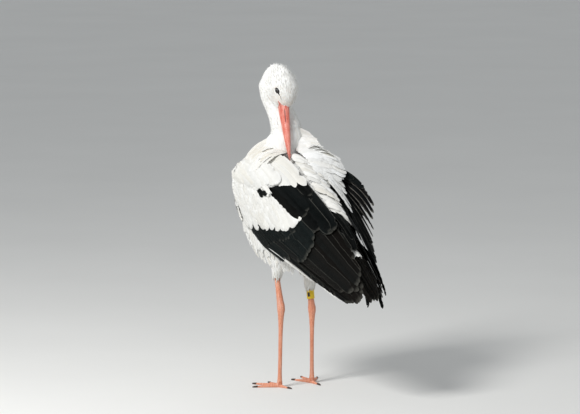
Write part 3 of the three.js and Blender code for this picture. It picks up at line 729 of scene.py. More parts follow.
def feather_piece(name, batches, nodes=(), material=None, slot="white_plumage"):
    """One object of many feathers, white unless said. A batch holds vanes with each one's place on
    the unwrapped skin, its tone, its stain and its half width and length in millimetres."""
    points, faces, webs, looks, patches, count = [], [], [], [], [], 0
    for batch in batches:
        own, own_faces, over, along = batch["vanes"]
        number = len(own)
        faces.append(own_faces + count)
        points.append(own.reshape(-1, 3))
        count += number * own.shape[1]
        wide = np.multiply.outer(batch["half_width"], over)
        long = np.multiply.outer(batch["length"], along)
        webs.append(np.stack([wide, long, np.tile(along, (number, 1))], -1).reshape(-1, 3))
        tone, stain = (np.repeat(batch[key][:, None], len(over), 1) for key in ("tone", "stain"))
        looks.append(np.stack([tone, stain, np.tile(over, (number, 1))], -1).reshape(-1, 3))
        local = np.stack([over * PATCH / 2, (along - 0.5) * PATCH], -1)
        patches.append((batch["map"][:, None] + local).reshape(-1, 2))
    webs, looks = np.concatenate(webs), np.concatenate(looks)
    piece = mesh_of(name, np.concatenate(points), np.concatenate(faces), material or white_web)
    store(piece, "web", webs)
    store(piece, "look", looks)
    # The rim of a vane is a sharp edge, so that its two thin faces shade as flat webs.
    rim = (np.abs(looks[:, 2]) > 0.99) | np.isin(webs[:, 2], (0, 1))
    ends = np.zeros(len(piece.data.edges) * 2, np.int32)
    piece.data.edges.foreach_get("vertices", ends)
    sharp = piece.data.attributes.new("sharp_edge", "BOOLEAN", "EDGE")
    sharp.data.foreach_set("value", rim[ends.reshape(-1, 2)].all(1))
    corners = np.zeros(len(piece.data.loops), np.int32)
    piece.data.loops.foreach_get("vertex_index", corners)
    bake_map = piece.data.uv_layers.new(name="OFBake")
    spread = np.clip(np.concatenate(patches), 0.001, 0.999)[corners]
    bake_map.data.foreach_set("uv", spread.astype(np.float32).ravel())
    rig.ride(piece, "root")
    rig.slot(piece, slot)
    if nodes:
        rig.replaces(piece, *nodes)


def scattered(points, spacing):
    """Picks from points in random order so that no two are nearer than spacing."""
    cells = np.floor(points / spacing).astype(int).tolist()
    taken, chosen = {}, []
    around = [(i, j, k) for i in (-1, 0, 1) for j in (-1, 0, 1) for k in (-1, 0, 1)]
    for index, (point, (x, y, z)) in enumerate(zip(points.tolist(), cells)):
        near = (p for i, j, k in around for p in taken.get((x + i, y + j, z + k), ()))
        if all(math.dist(point, p) > spacing for p in near):
            taken.setdefault((x, y, z), []).append(point)
            chosen.append(index)
    return np.array(chosen)


FLATTENING = 0.55  # how far a vane's faces are evened out along it where it bends over the body


def laid(roots, ways, lengths, shares, heights):
    """Centrelines over the outline from their roots, with their sides and upper faces."""
    place, centre, upper, gone = roots.copy(), [], [], np.zeros(len(roots))
    for share, height in zip(shares, heights.T):
        place = place + ways * ((share - gone) * lengths)[:, None]
        gone = np.full(len(roots), share)
        hits = [outline_tree.find_nearest(p)[:2] for p in place.tolist()]
        place, normal = np.array([hit[0] for hit in hits]), np.array([hit[1] for hit in hits])
        ways = unit(ways - normal * (ways * normal).sum(1, keepdims=True))
        centre.append(place + normal * height[:, None])
        upper.append(normal)
    centre = np.stack(centre, 1)
    upper = np.stack(upper, 1)
    upper = unit(upper * (1 - FLATTENING) + upper.mean(1, keepdims=True) * FLATTENING)
    along = unit(np.gradient(centre, axis=1))
    side = unit(np.cross(along, upper))
    return centre, side, unit(np.cross(side, along))


ROOT_WIDTH = 0.35  # a vane's width at its root, as a part of its widest


def web_shape(shares, pointed):
    """A vane's half width from root to tip, as a part of its widest. pointed is 0 for a round tip."""
    rise = ROOT_WIDTH + (1 - ROOT_WIDTH) * step_up(shares, 0, 0.45)
    round_tip = np.sqrt(np.clip(1 - np.clip((shares - 0.72) / 0.28, 0, 1) ** 2, 0, 1))
    sharp_tip = 1 - step_up(shares, 0.25, 1.02)
    return rise * (round_tip * (1 - pointed) + sharp_tip * pointed)


def unwrapped(points, shares):
    """Places on an unwrap of the body's own shape: round it, and along it from bill to tail."""
    stance = points / MM - ORIGIN
    region = shares.argmax(1)
    head = -(stance - BILL_BASE) @ BILL_WAY / 110
    head_turn = np.arctan2((stance - BILL_BASE) @ CROWN, (stance - BILL_BASE) @ HEAD_RIGHT)
    nearest = nearest_on_neck(stance)
    off = stance - NECK_PATH[nearest]
    neck_turn = np.arctan2(off[:, 1], off[:, 0])
    trunk_turn = np.arctan2(stance[:, 2] - 500, stance[:, 0])
    leg_turn = np.arctan2(stance[:, 1], stance[:, 0] - np.sign(stance[:, 0]) * 50)
    # The map has four strips, one above another: the head, the neck, the trunk and the legs.
    where = [region == 0, region < 3, region < 5]
    turn = np.select(where, [head_turn, neck_turn, trunk_turn], leg_turn)
    along_neck = 0.24 + 0.3 * (1 - NECK_SHARES[nearest])
    along_trunk = 0.56 + 0.3 * (stance[:, 1] + 180) / 430
    along_leg = 0.88 + 0.1 * (450 - stance[:, 2]) / 190
    along = np.select(where, [0.02 + 0.2 * head, along_neck, along_trunk], along_leg)
    around = 0.02 + 0.96 * (turn / (2 * math.pi) + 0.5)
    around = np.where(region == 5, (around + (stance[:, 0] > 0)) / 2, around)
    return np.stack([around, along], 1)


# White plumage: matt keratin with a faint sheen, its barbs fine ridges that run out from the
# shaft at a slant. The ridges are drawn about twice as wide as real ones so that they show.
BARB_SPACING = 1.3
BARB_SLANT = 1.4  # how far a barb runs towards the tip for its way out


def plumage(name, dark, light, stain, edge, rough, gloss, sheen):
    """The material of a web: its shades by feather, its stain, and the colour, strength and width
    of its worn rim."""
    made, tree, shader = substance(name)
    web, look = (
        node(tree, "SeparateXYZ", {0: node(tree, "Attribute", out="Vector", attribute_name=kept)}, XYZ)
        for kept in ("web", "look")
    )
    place = node(tree, "TexCoord", out="Object")
    mottle = node(tree, "TexNoise", {"Vector": place, "Scale": 1 / 0.016, "Detail": 5})
    mixed = node(tree, "Math", {0: look[0], 1: mottle, 2: 0.08}, operation="MULTIPLY_ADD")
    shade = node(tree, "Mix", {0: mixed, 6: dark, 7: light}, **MIX)
    soiled = node(tree, "Mix", {0: look[1], 6: shade, 7: stain}, **MIX)
    from_shaft = node(tree, "Math", {0: look[2]}, operation="ABSOLUTE")
    rim = node(tree, "MapRange", {0: from_shaft, 1: 1 - edge[2], 2: 1.0, 3: 0.0, 4: edge[1]})
    tip = node(tree, "MapRange", {0: web[2], 1: 1 - edge[2] / 4, 2: 1.0, 3: 0.0, 4: edge[1]})
    border = node(tree, "Math", {0: rim, 1: tip}, operation="MAXIMUM")
    frayed = node(tree, "TexNoise", {"Vector": place, "Scale": 1 / 0.006, "Detail": 3})
    broken = node(tree, "Math", {0: border, 1: frayed}, operation="MULTIPLY")
    edged = node(tree, "Mix", {0: broken, 6: soiled, 7: edge[0]}, **MIX)
    out = node(tree, "Math", {0: web[0]}, operation="ABSOLUTE")
    slant = node(tree, "Math", {0: out, 1: -BARB_SLANT, 2: web[1]}, operation="MULTIPLY_ADD")
    phase = node(tree, "Math", {0: slant, 1: 2 * math.pi / BARB_SPACING}, operation="MULTIPLY")
    ridge = node(tree, "Math", {0: phase}, operation="SINE")
    shaft = node(tree, "MapRange", {0: from_shaft, 1: 0.0, 2: 0.07, 3: 3.0, 4: 0.0})
    relief = node(tree, "Math", {0: ridge, 1: shaft}, operation="ADD")
    bump = node(tree, "Bump", {"Height": relief, "Strength": 0.5, "Distance": 0.00018})
    finish = node(tree, "MapRange", {0: mottle, 1: 0.3, 2: 0.7, 3: rough[0], 4: rough[1]})
    feed(shader, {"Base Color": edged, "Normal": bump, "Roughness": finish, "Specular IOR Level": gloss})
    feed(shader, {"Sheen Weight": sheen, "Sheen Roughness": 0.5})
    return made


white_web = plumage(
    "white_keratin_barbs", "D9D8D3", "F8F8F6", "D6C8A8", ("FBFBF9", 0.8, 0.3), (0.7, 0.9), 0.25, 0.05
)

WING_LAYERS = ["scapulars", "tertials", "coverts", "greater_coverts", "secondaries", "primaries"]
FOLDED = [f"wing_{side}_{layer}" for side in LEGS for layer in WING_LAYERS]
wing_tree = tree_of(FOLDED + ["wing_right_fan", "wing_right_swept"])
WING_SEARCH = 0.09  # how far from the body a wing is looked for, in metres
WING_SLANTS = ((0, 0, -0.9), (0, -0.9, 0), (0, -2.2, 0))  # downwards and forwards, past the normal


def under_wing(points, normals):
    """Whether each point of the body is shut in under a folded wing."""
    slants = [unit(normals + np.array(slant)) for slant in WING_SLANTS]
    hidden = []
    for point, out, *ways in zip(points, normals, *slants):
        start = Vector(point + out * 0.002)
        hits = [wing_tree.ray_cast(start, Vector(way), WING_SEARCH)[0] for way in (out, *ways)]
        hidden.append(all(hit is not None for hit in hits))
    return np.array(hidden)


def spots_on_outline(number):
    """Random points spread evenly over the outline of the plumage, with their triangles."""
    corners = outline_points[outline_faces]
    area = np.linalg.norm(np.cross(corners[:, 1] - corners[:, 0], corners[:, 2] - corners[:, 0]), axis=1)
    face = dice.choice(len(area), number, p=area / area.sum())
    a, b = dice.random((2, number))
    over = a + b > 1
    a, b = np.where(over, 1 - a, a)[:, None], np.where(over, 1 - b, b)[:, None]
    first, second, third = corners[face].transpose(1, 0, 2)
    return first + a * (second - first) + b * (third - first), face


# Length, half width, spacing, pointedness, how far the tips may stand off and how far they always
# do, in millimetres. Wisps are the few that stand up on head and neck, so that the outline is
# ragged, and the long ones are the looser plumes over breast and belly.
CONTOUR = {
    "head": {"length": 12, "half": 1.9, "spacing": 1.8, "pointed": 0.8, "loose": 2.0},
    "neck_upper": {"length": 20, "half": 2.9, "spacing": 2.4, "pointed": 0.7, "loose": 2.4},
    "neck_lower": {"length": 44, "half": 5.2, "spacing": 4.3, "pointed": 0.75, "loose": 3.0},
    "trunk": {"length": 42, "half": 8.5, "spacing": 7.5, "pointed": 0.45, "loose": 2.6},
    "thigh": {"length": 24, "half": 4.2, "spacing": 4.6, "pointed": 0.7, "loose": 2.5},
    "wisps": {"length": 19, "half": 1.6, "spacing": 7, "pointed": 0.95, "loose": 3.0, "stand": 6.5},
    "short_wisps": {"length": 19, "half": 1.6, "spacing": 8, "pointed": 0.95, "loose": 3.0, "stand": 2.6},
    "long": {"length": 66, "half": 7, "spacing": 9.5, "pointed": 0.8, "loose": 5.0, "stand": 2.5},
}
BODY_SHARES = np.array([0, 0.28, 0.56, 0.8, 0.93, 1])
BODY_RISE = np.array([-0.5, -0.18, -0.05, 0.0, 0.0, 0.0])  # heights along a feather, in coat depths
FACE_GROWTH = (0.48, 0.52)  # the part of its length that a feather has at the bill, and gains
GROWTH_REACH = (14, 66)  # how far from the bill it starts to gain, and has all its length
STRAYING = 0.13  # how far each feather turns from the common way, as a slope
SPOTS = 90000

spots, spot_faces = spots_on_outline(SPOTS)
spot_shares = region_shares(spots)
spot_normals = unit(outline_normals[outline_faces[spot_faces]].mean(1))
spot_regions = spot_shares.argmax(1)
region_names = list(REGIONS)
spot_regions[spot_regions == region_names.index("arm")] = region_names.index("trunk")
stance = spots / MM - ORIGIN
from_face = np.linalg.norm(stance - on_head(2, 0, 0), axis=1)


def contour_feathers(region, keep, kind=None):
    """A batch of contour feathers for one region of the body, from the spots that are kept."""
    size = CONTOUR[kind or region]
    mine = np.flatnonzero((spot_regions == region_names.index(region)) & keep)
    mine = mine[scattered(spots[mine], size["spacing"] * MM)]
    roots, normals, shares = spots[mine], spot_normals[mine], spot_shares[mine]
    number = len(roots)
    ways = lie_of(roots, shares)
    ways = unit(ways + np.cross(normals, ways) * dice.normal(0, STRAYING, (number, 1)))
    grown = np.ones(number)
    if region == "head":
        grown = FACE_GROWTH[0] + FACE_GROWTH[1] * step_up(from_face[mine], *GROWTH_REACH)
    lengths = size["length"] * grown * dice.uniform(0.82, 1.18, number)
    halves = size["half"] * grown * dice.uniform(0.85, 1.15, number)
    settled = np.clip(shares.max(1) * 2 - 1, 0.15, 1)
    lifted = dice.random(number) ** 3 * settled * size["loose"] + size.get("stand", 0)
    heights = sunk(roots, shares)[:, None] * BODY_RISE + (lifted * grown * MM)[:, None] * BODY_SHARES**2
    line = laid(roots, ways, lengths * MM, BODY_SHARES, heights)
    width = web_shape(BODY_SHARES, size["pointed"]) * (halves * MM)[:, None]
    return {
        "vanes": vanes(*line, width, (-1, 0, 1), BODY_SHARES, camber=0.3, thickness=0.00018),
        "map": unwrapped(roots, shares),
        "tone": dice.uniform(0.9, 2.1, number),
        "stain": np.clip(dice.normal(0.06, 0.06, number), 0, 1),
        "half_width": halves,
        "length": lengths,
    }


# No feathers grow on the lids and lore, on the horn of the bill or at the corners of the mouth.
GAPE_CORNER = 7.5  # how far behind the bill's base the bare corner of the mouth reaches
GAPE_CORNER_HALF = 4.8  # half its height where it leaves the bill
EYE_CLEARING = 24  # how far from an eye other regions than the head are kept bare too
FACE_RADIUS = 52  # how far from the bill's base the first wisps stand
ahead_of_eye, over_eye = ((stance - on_head(*EYE_SEAT, 0)) @ way for way in (BILL_WAY, CROWN))
over_eye = over_eye - LID_SLANT * ahead_of_eye
lid_reach = np.where(ahead_of_eye > 0, LORE["ahead"] - 2, LORE["behind"] - 0.5)
lid_half = (LORE["up"] - 0.5) * lore_taper(ahead_of_eye)
on_lid = (ahead_of_eye / lid_reach) ** 2 + (over_eye / lid_half) ** 2 < 1
eyes_at = [on_head(*EYE_SEAT, side * (seats[side] + EYE_RADIUS)) for side in seats]
from_eye = np.linalg.norm(stance[:, None] - np.array(eyes_at), axis=2).min(1)
on_lid &= (from_eye < EYE_CLEARING) | (spot_regions == 0)
down_bill, over_gape = ((stance - BILL_BASE) @ way for way in (BILL_WAY, CROWN))
beyond_bill = down_bill > 1 + 8 * step_up(over_gape, -2, 12)
corner_half = GAPE_CORNER_HALF * (down_bill + GAPE_CORNER) / GAPE_CORNER
in_corner = (down_bill + GAPE_CORNER > 0) & (np.abs(over_gape) < corner_half)
head_spots = ~(on_lid | ((beyond_bill | in_corner) & (spot_regions == 0)))
wisp_spots = head_spots & (from_face > FACE_RADIUS) & (dice.random(len(spots)) < 0.5)
for name, region, kind in (
    ("head_feathers", "head", "wisps"),
    ("neck_feathers", "neck_upper", "short_wisps"),
):
    feather_piece(name, [contour_feathers(region, head_spots), contour_feathers(region, wisp_spots, kind)])
feather_piece("ruff_feathers", [contour_feathers("neck_lower", head_spots)])

# Below the neck they grow where no folded wing covers them, with longer plumes on the belly.
BELLY_BACK = 50
BELLY_TOP = 580
open_spots = np.zeros(len(spots), bool)
low_body = np.flatnonzero(spot_regions >= region_names.index("trunk"))
open_spots[low_body] = ~under_wing(spots[low_body], spot_normals[low_body])
low_spots = open_spots & (stance[:, 1] < BELLY_BACK) & (stance[:, 2] < BELLY_TOP)
batches = [contour_feathers("trunk", open_spots), contour_feathers("trunk", low_spots, "long")]
feather_piece("trunk_feathers", batches)
feather_piece("thigh_feathers", [contour_feathers("thigh", open_spots)])


# ---------------------------------------------------------------- wings
# A folded wing shows its layers as shingles: small white coverts and long white scapulars over
# black tertials and greater coverts, and under those the stiff black quills of the hand and arm.
# Each quill is a horn shaft with two webs whose barbs hook together and split when ruffled.

WING_LINES = np.array(
    [
        [[66, -112, 652], [62, -40, 650], [48, 50, 612], [37, 195, 515], [33, 332, 398]],
        [[104, -136, 622], [106, -50, 603], [94, 60, 560], [70, 195, 466], [42, 356, 345]],
        [[121, -146, 560], [121, -50, 508], [112, 60, 462], [90, 200, 388], [52, 360, 294]],
        [[113, -124, 476], [109, -50, 416], [99, 62, 375], [79, 201, 320], [59, 318, 277]],
    ],
    float,
)
RIGHT_DROOP = 20  # how much lower the right wing's tips hang
RIGHT_REACH = 18  # and how much further back
WING_DEPTH = 290


def wing_point(side, s, t):
    """A point on the face of a folded wing. s runs from the wrist to the tips, t from the back
    to the lower edge."""
    lines = key_weights(len(WING_LINES), np.asarray(t, float))
    keys = key_weights(len(WING_LINES[0]), np.asarray(s, float))
    point = np.einsum("...i,...j,ijk->...k", lines, keys, WING_LINES)
    point[..., 0] *= side
    if side < 0:
        point[..., 2] -= RIGHT_DROOP * np.clip(s, 0, 1) ** 2
        point[..., 1] += RIGHT_REACH * np.clip(s, 0, 1) ** 2
    return point


def wing_frame(side, s, t):
    """Points on the wing with the direction that faces away from the body. Past the wing's edges
    there is no such direction, and feathers run out to a line."""
    step = 0.01
    along = wing_point(side, np.clip(s + step, 0, 1), t) - wing_point(side, np.clip(s - step, 0, 1), t)
    low, high = np.clip(t - step, 0, 1), np.clip(t + step, 0, 1)
    down = (wing_point(side, s, high) - wing_point(side, s, low)) * (high > low)[..., None]
    return wing_point(side, s, t), unit(np.cross(along, down)) * -side


def tilted(side_way, up, angle):
    """A vane's side and upper directions turned about its shaft."""
    cos, sin = np.cos(angle)[..., None], np.sin(angle)[..., None]
    return side_way * cos + up * sin, up * cos - side_way * sin


def split_webs(number, stations, splits, deep):
    """How far each web reaches at each station: the rim is notched where its barbs have parted."""
    edges = np.ones((number, stations, 2))
    for feather in range(number):
        for web in range(2):
            for place in dice.integers(int(stations * 0.35), stations - 2, dice.poisson(splits)):
                edges[feather, place, web] *= 1 - deep * dice.uniform(0.3, 1)
    return edges


QUILL_ACROSS = (-1, -0.72, -0.4, -0.12, -0.035, 0, 0.035, 0.12, 0.4, 0.72, 1)
COVERT_ACROSS = (-1, -0.55, -0.06, 0, 0.06, 0.55, 1)
VANE_THICKNESS = 0.0003
COVERT_TILT = math.radians(5)  # how far a feather's outer edge lies under the next one's inner edge


def near_tip(stations):
    """Stations along a feather, from 0 to 1, that crowd towards its tip."""
    return 1 - (1 - np.linspace(0, 1, stations)) ** 1.8


def quills(
    line,
    v,
    halves,
    places,
    across=COVERT_ACROSS,
    pointed=0.15,
    narrows=0.3,
    splits=0.4,
    deep=0.4,
    camber=0.1,
    tone=(0, 1),
    stain=0.03,
    stained=0.05,
):
    """A batch of feathers with round tips along centrelines, given with their sides and upper
    faces. v is the stations' places along them, narrows where a pointed one begins to narrow,
    deep how far its webs are split and stained how much the stain varies."""
    centre = line[0]
    count = len(centre)
    length = np.linalg.norm(np.diff(centre, axis=1), axis=2).sum(1)
    tip_share = np.minimum(halves * MM / length, 0.45)[:, None]
    round_tip = np.sqrt(np.clip(1 - np.clip((v - 1 + tip_share) / tip_share, 0, 1) ** 2, 0, 1))
    sharp_tip = 1 - step_up(v, narrows, 1.02)
    body = 0.3 + 0.7 * step_up(v, 0, 0.3)
    width = body * (round_tip * (1 - pointed) + sharp_tip * pointed) * (halves * MM)[:, None]
    edges = split_webs(count, len(v), splits, deep)
    return {
        "vanes": vanes(*line, width, across, v, camber, VANE_THICKNESS, edges),
        "map": places,
        "tone": dice.uniform(*tone, count),
        "stain": np.clip(dice.normal(stain, stained, count), 0, 1),
        "half_width": halves,
        "length": length / MM,
    }


def wing_row(
    side, roots, tips, count, half, depth, lift=(2.5, 0.0), stations=16, spread=0.02, roll=0.03, **look
):
    """A batch of feathers on a wing, between lines through their roots and their tips. half is
    their half width, depth how far they lie under the wing's face and lift how much deeper the
    root and the tip lie, in millimetres."""
    share = np.linspace(0, 1, count) + dice.normal(0, 0.12 / count, count)
    root = smooth(roots, share) + dice.normal(0, 0.004, (count, 2))
    tip = smooth(tips, share) + dice.normal(0, spread, (count, 2)) * 0.5
    v = near_tip(stations)
    st = root[:, None] * (1 - v[:, None]) + tip[:, None] * v[:, None]
    st[..., 0] = np.clip(st[..., 0], 0, 1)
    point, out = wing_frame(side, st[..., 0], st[..., 1])
    beyond = st[..., 1] - np.clip(st[..., 1], 0, 1)
    down = wing_point(side, st[..., 0], np.ones_like(v)) - wing_point(side, st[..., 0], np.full_like(v, 0.9))
    point = point + unit(down) * (beyond * WING_DEPTH)[..., None]
    step = np.linspace(0, 2.2, count)[:, None]
    sink = depth + step + lift[0] * (1 - v) ** 1.5 + lift[1] * v**2 + dice.normal(0, 0.25, (count, 1))
    centre = placed(point - out * sink[..., None])
    along = unit(np.gradient(centre, axis=1))
    side_way = unit(np.cross(along, out))
    turn = np.full(centre.shape[:2], -COVERT_TILT) - side * dice.normal(0, roll, (count, 1))
    line = centre, *tilted(side_way, unit(np.cross(side_way, along)), turn)
    halves = half * dice.uniform(0.92, 1.08, count)
    return quills(line, v, halves, 0.05 + 0.85 * np.clip(root, 0, 1), **look)


# Black plumage: keratin full of melanin, tougher and glossier than the white. The loose feathers
# of the fan are the same, faded brownish and worn pale at their rims.
black_web = plumage(
    "black_melanin_barbs", "010202", "121818", "1F1813", ("78776F", 0.6, 0.12), (0.35, 0.5), 0.04, 0.0
)
fan_web = plumage(
    "faded_black_barbs", "020304", "0E1213", "2B221A", ("B4B0A5", 0.85, 0.2), (0.4, 0.55), 0.05, 0.0
)

# Painted sheen: the greater coverts' higher tone gives them a lighter black than the other quills.
COVERING = {"spread": 0.008, "camber": 0.16, "tone": [0.8, 2.6], "roll": 0.1}
TERTIAL = {"spread": 0.003, "camber": 0.22, "tone": [0, 0.6], "roll": 0.12, "lift": [8, 0], "stations": 22}
QUILLS = {
    "primaries": [
        {"roots": [[0.3, 0.5], [0.3, 0.8], [0.26, 0.97]],
         "tips": [[1, 0.4], [1, 0.62], [1, 0.84], [0.98, 1.0]],
         "count": 9, "half": 12, "depth": 19, "stations": 28, "spread": 0.008, "pointed": 0.35, "stain": 0.3},
        {"roots": [[0.22, 0.88], [0.26, 0.9], [0.3, 0.92]],
         "tips": [[0.7, 0.99], [0.84, 1.0], [0.97, 0.99]],
         "count": 7, "half": 7, "depth": 15, "stations": 26, "spread": 0.002, "stain": 0.1},
    ],
    "secondaries": [
        {"roots": [[0.4, 0.06], [0.4, 0.4], [0.4, 0.82]],
         "tips": [[0.93, 0.02], [0.99, 0.2], [0.98, 0.45], [0.95, 0.62], [0.91, 0.8]],
         "count": 11, "half": 16, "depth": 14, "stations": 26, "spread": 0.012, "pointed": 0.25,
         "stain": 0.25, "splits": 2.5, "tone": [0, 1.2], "roll": 0.07},
    ],
    "greater_coverts": [
        {"roots": [[0.36, 0.3], [0.22, 0.5], [0.12, 0.75], [0.1, 0.93]],
         "tips": [[0.74, 0.36], [0.73, 0.55], [0.71, 0.7], [0.65, 0.85], [0.52, 1]],
         "count": 10, "half": 16, "depth": 9.5, "stations": 22, **COVERING, "spread": 0.01},
        {"roots": [[0.3, 0.4], [0.18, 0.6], [0.11, 0.9]],
         "tips": [[0.64, 0.44], [0.6, 0.64], [0.5, 0.82], [0.34, 1]],
         "count": 14, "half": 10, "depth": 8, "stations": 20, **COVERING},
    ],
    "tertials": [
        {"roots": [[0.38, 0.06], [0.38, 0.18], [0.38, 0.32]],
         "tips": [[0.82, 0.05], [0.81, 0.15], [0.75, 0.26]],
         "count": 4, "half": 24, "depth": 5.5, **TERTIAL, "stations": 24, "spread": 0.006, "camber": 0.2},
        {"roots": [[0.3, 0.22], [0.28, 0.32], [0.26, 0.4]],
         "tips": [[0.67, 0.22], [0.67, 0.31], [0.64, 0.4]],
         "count": 3, "half": 21, "depth": 3.6, **TERTIAL},
        {"roots": [[0.3, 0.03], [0.28, 0.12], [0.27, 0.2]],
         "tips": [[0.64, 0.02], [0.66, 0.08], [0.62, 0.18]],
         "count": 3, "half": 19, "depth": 2.0, **TERTIAL},
    ],
}
# Two black feathers that have worked loose between the white ones of the left shoulder.
STRAY = {"roots": [[0.24, 0.37], [0.22, 0.39]], "tips": [[0.4, 0.45], [0.36, 0.49]],
         "count": 2, "half": 10, "depth": 1.2, "lift": [6, 0], "spread": 0.002}
RIGHT_PRIMARY_REACH = (0.94, 1)  # the right hand's quills end a little short of the left's
for name, leg in LEGS.items():
    for layer, rows in QUILLS.items():
        if (name, layer) == ("left", "tertials"):
            rows = rows + [STRAY]
        if (name, layer) == ("right", "primaries"):
            rows = [{**row, "tips": np.array(row["tips"]) * RIGHT_PRIMARY_REACH} for row in rows]
        batches = [wing_row(leg["side"], across=QUILL_ACROSS, **{"splits": 1.0, **row}) for row in rows]
        feather_piece(f"{name}_{layer}", batches, [f"wing_{name}_{layer}"], black_web, "black_plumage")

# The white coverts lie in rows from the wrist back, each row longer than the one before it. A row
# is how far back it starts, its number of feathers, their half width and their length.
COVERT_TIPS = np.array([[0.65, 0.4], [0.6, 0.56], [0.49, 0.69], [0.34, 0.82], [0.14, 0.98]])
COVERT_WAY = np.array([0.17, 0.2])
COVERT_ROWS = [(0.0, 12, 15.5, 0.62), (0.14, 15, 13, 0.54), (0.32, 20, 10, 0.48)]
COVERT_ROWS += [(0.46, 22, 8.5, 0.42), (0.59, 25, 7.5, 0.36), (0.71, 27, 7, 0.32)]
COVERT_ROWS += [(0.82 + 0.105 * row, 28, 6.5, 0.28) for row in range(11)]
# Painted shade: the coverts' low tone keeps them a greyer white than the head and body.
COVERT = {"stations": 14, "spread": 0.005, "camber": 0.2, "pointed": 0.0, "tone": (0, 0.8), "roll": 0.06}
# White under coverts show as thin lines along the lower edge.
EDGE_LINES = [
    ([[0.32, 0.98], [0.36, 1.0]], [[0.52, 0.995], [0.6, 1.01]]),
    ([[0.5, 0.99], [0.54, 1.0]], [[0.68, 1.005], [0.72, 1.01]]),
    ([[0.76, 1.0], [0.78, 1.01]], [[0.93, 1.01], [0.99, 1.015]]),
]
EDGE = {"depth": 9, "stations": 14, "splits": 1, "spread": 0.002, "pointed": 0.6}
SCAPULAR_TIPS = np.array([[0.6, 0.02], [0.53, 0.15], [0.45, 0.29], [0.34, 0.42], [0.14, 0.5]])
SCAPULAR_ROWS = [(0.0, 9, 20, 0.36), (0.05, 10, 18, 0.32), (0.12, 10, 16, 0.28)]
SCAPULAR_ROWS += [(0.19, 11, 13, 0.24), (0.26, 12, 12, 0.2), (0.33, 13, 11, 0.17)]
# Painted shade: the scapulars' low tone keeps them a greyer white than the head and body.
SCAPULAR = {"lift": (3.5, 1.2), "splits": 1.2, "spread": 0.006, "stain": 0.1, "camber": 0.28,
            "pointed": 0.1, "tone": (0, 0.5), "roll": 0.1}
# The row's inner end lies over the back, a fold of large scapulars lies raised over the others,
# and a tuft of white down stands free.
SHOULDER = {"stations": 18, "splits": 1, "pointed": 0.1}
INNER_LINES = ([[0.12, -0.01], [0.3, -0.01]], [[0.4, -0.03], [0.58, -0.015]])
INNER = {**SHOULDER, "spread": 0.004, "camber": 0.25, "lift": (4, 1), "depth": 0.6}
FOLD_LINES = ([[0.13, 0.1], [0.1, 0.26]], [[0.47, 0.25], [0.345, 0.41]])
# Painted shade here too: a low tone gives the fold a greyer white.
FOLD = {**SHOULDER, "tone": (0, 0.6), "spread": 0.006, "camber": 0.3, "lift": (5, 0.5), "depth": -3.5}
FLUFF_LINES = ([[0.32, 0.36], [0.31, 0.41]], [[0.44, 0.4], [0.41, 0.46]])
FLUFF = {"stations": 14, "splits": 4, "pointed": 0.7, "spread": 0.006, "camber": 0.3, "depth": -1}
for name, leg in LEGS.items():
    side = leg["side"]
    batches = []
    for index, (back, count, half, long) in enumerate(COVERT_ROWS):
        tips = COVERT_TIPS - COVERT_WAY * back
        roots = tips - COVERT_WAY * long
        batches.append(wing_row(side, roots, tips, count, half, 6.5 - 0.15 * index, **COVERT))
    batches += [wing_row(side, *lines, 3, 1.7, **EDGE) for lines in EDGE_LINES]
    feather_piece(f"{name}_coverts", batches, [f"wing_{name}_coverts"])
    batches = []
    for index, (back, count, half, long) in enumerate(SCAPULAR_ROWS):
        tips = SCAPULAR_TIPS - np.array([back, 0])
        roots = tips - np.array([long, 0.04])
        batches.append(wing_row(side, roots, tips, count, half, 1.6 - 0.3 * index, **SCAPULAR))
    batches.append(wing_row(side, *INNER_LINES, 6, 15, **INNER))
    if name == "left":
        batches.append(wing_row(side, *FOLD_LINES, 5, 17, **FOLD))
        batches.append(wing_row(side, *FLUFF_LINES, 6, 6, **FLUFF))
    feather_piece(f"{name}_scapulars", batches, [f"wing_{name}_scapulars"])


# ---------------------------------------------------------------- loose feathers and tail
# Feathers that stand away from the folded wings: the long black scapulars of the ruffled right
# shoulder, spread like a fan, the soft white ones swept over their roots, and the tail under the
# wing tips. Each hangs from its root on its own line, so that light shows between the webs.

FAN = {
    "roots": [[-97, 22, 606], [-92, 60, 588], [-84, 100, 562], [-76, 140, 530]],
    "middles": [[-134, 92, 580], [-124, 116, 534], [-110, 150, 486], [-92, 200, 432]],
    "tips": [[-152, 160, 515], [-142, 176, 462], [-118, 212, 406], [-92, 282, 330]],
}
OUTER_TIPS = {
    "roots": [[-92, 130, 390], [-84, 165, 410], [-74, 195, 430]],
    "middles": [[-80, 208, 322], [-76, 256, 332], [-66, 288, 368]],
    "tips": [[-50, 272, 256], [-52, 338, 262], [-46, 364, 304]],
}
OVER_RUMP = {
    "roots": [[-28, 150, 524], [-12, 164, 523], [5, 168, 521], [18, 170, 514]],
    "middles": [[-25, 212, 484], [-11, 226, 489], [3, 230, 488], [14, 224, 480]],
    "tips": [[-22, 276, 420], [-11, 290, 424], [1, 294, 422], [10, 286, 416]],
}
SWEPT = {
    "roots": [[-70, -70, 664], [-62, -20, 658], [-54, 30, 636], [-44, 90, 600]],
    "middles": [[-104, -24, 655], [-92, 16, 640], [-74, 66, 608], [-56, 134, 560]],
    "tips": [[-124, 40, 634], [-114, 74, 598], [-88, 120, 560], [-62, 196, 498]],
}
TAIL = {
    "roots": [[17, 196, 448], [6, 202, 454], [-6, 202, 454], [-17, 196, 448]],
    "middles": [[17, 246, 426], [6, 254, 432], [-6, 254, 432], [-17, 246, 426]],
    "tips": [[15, 294, 396], [5, 308, 402], [-5, 308, 402], [-15, 294, 396]],
}
LOOSE = {"across": QUILL_ACROSS, "pointed": 0.2, "narrows": 0.35, "splits": 1.5, "deep": 0.55,
         "camber": 0.14, "stained": 0.06}


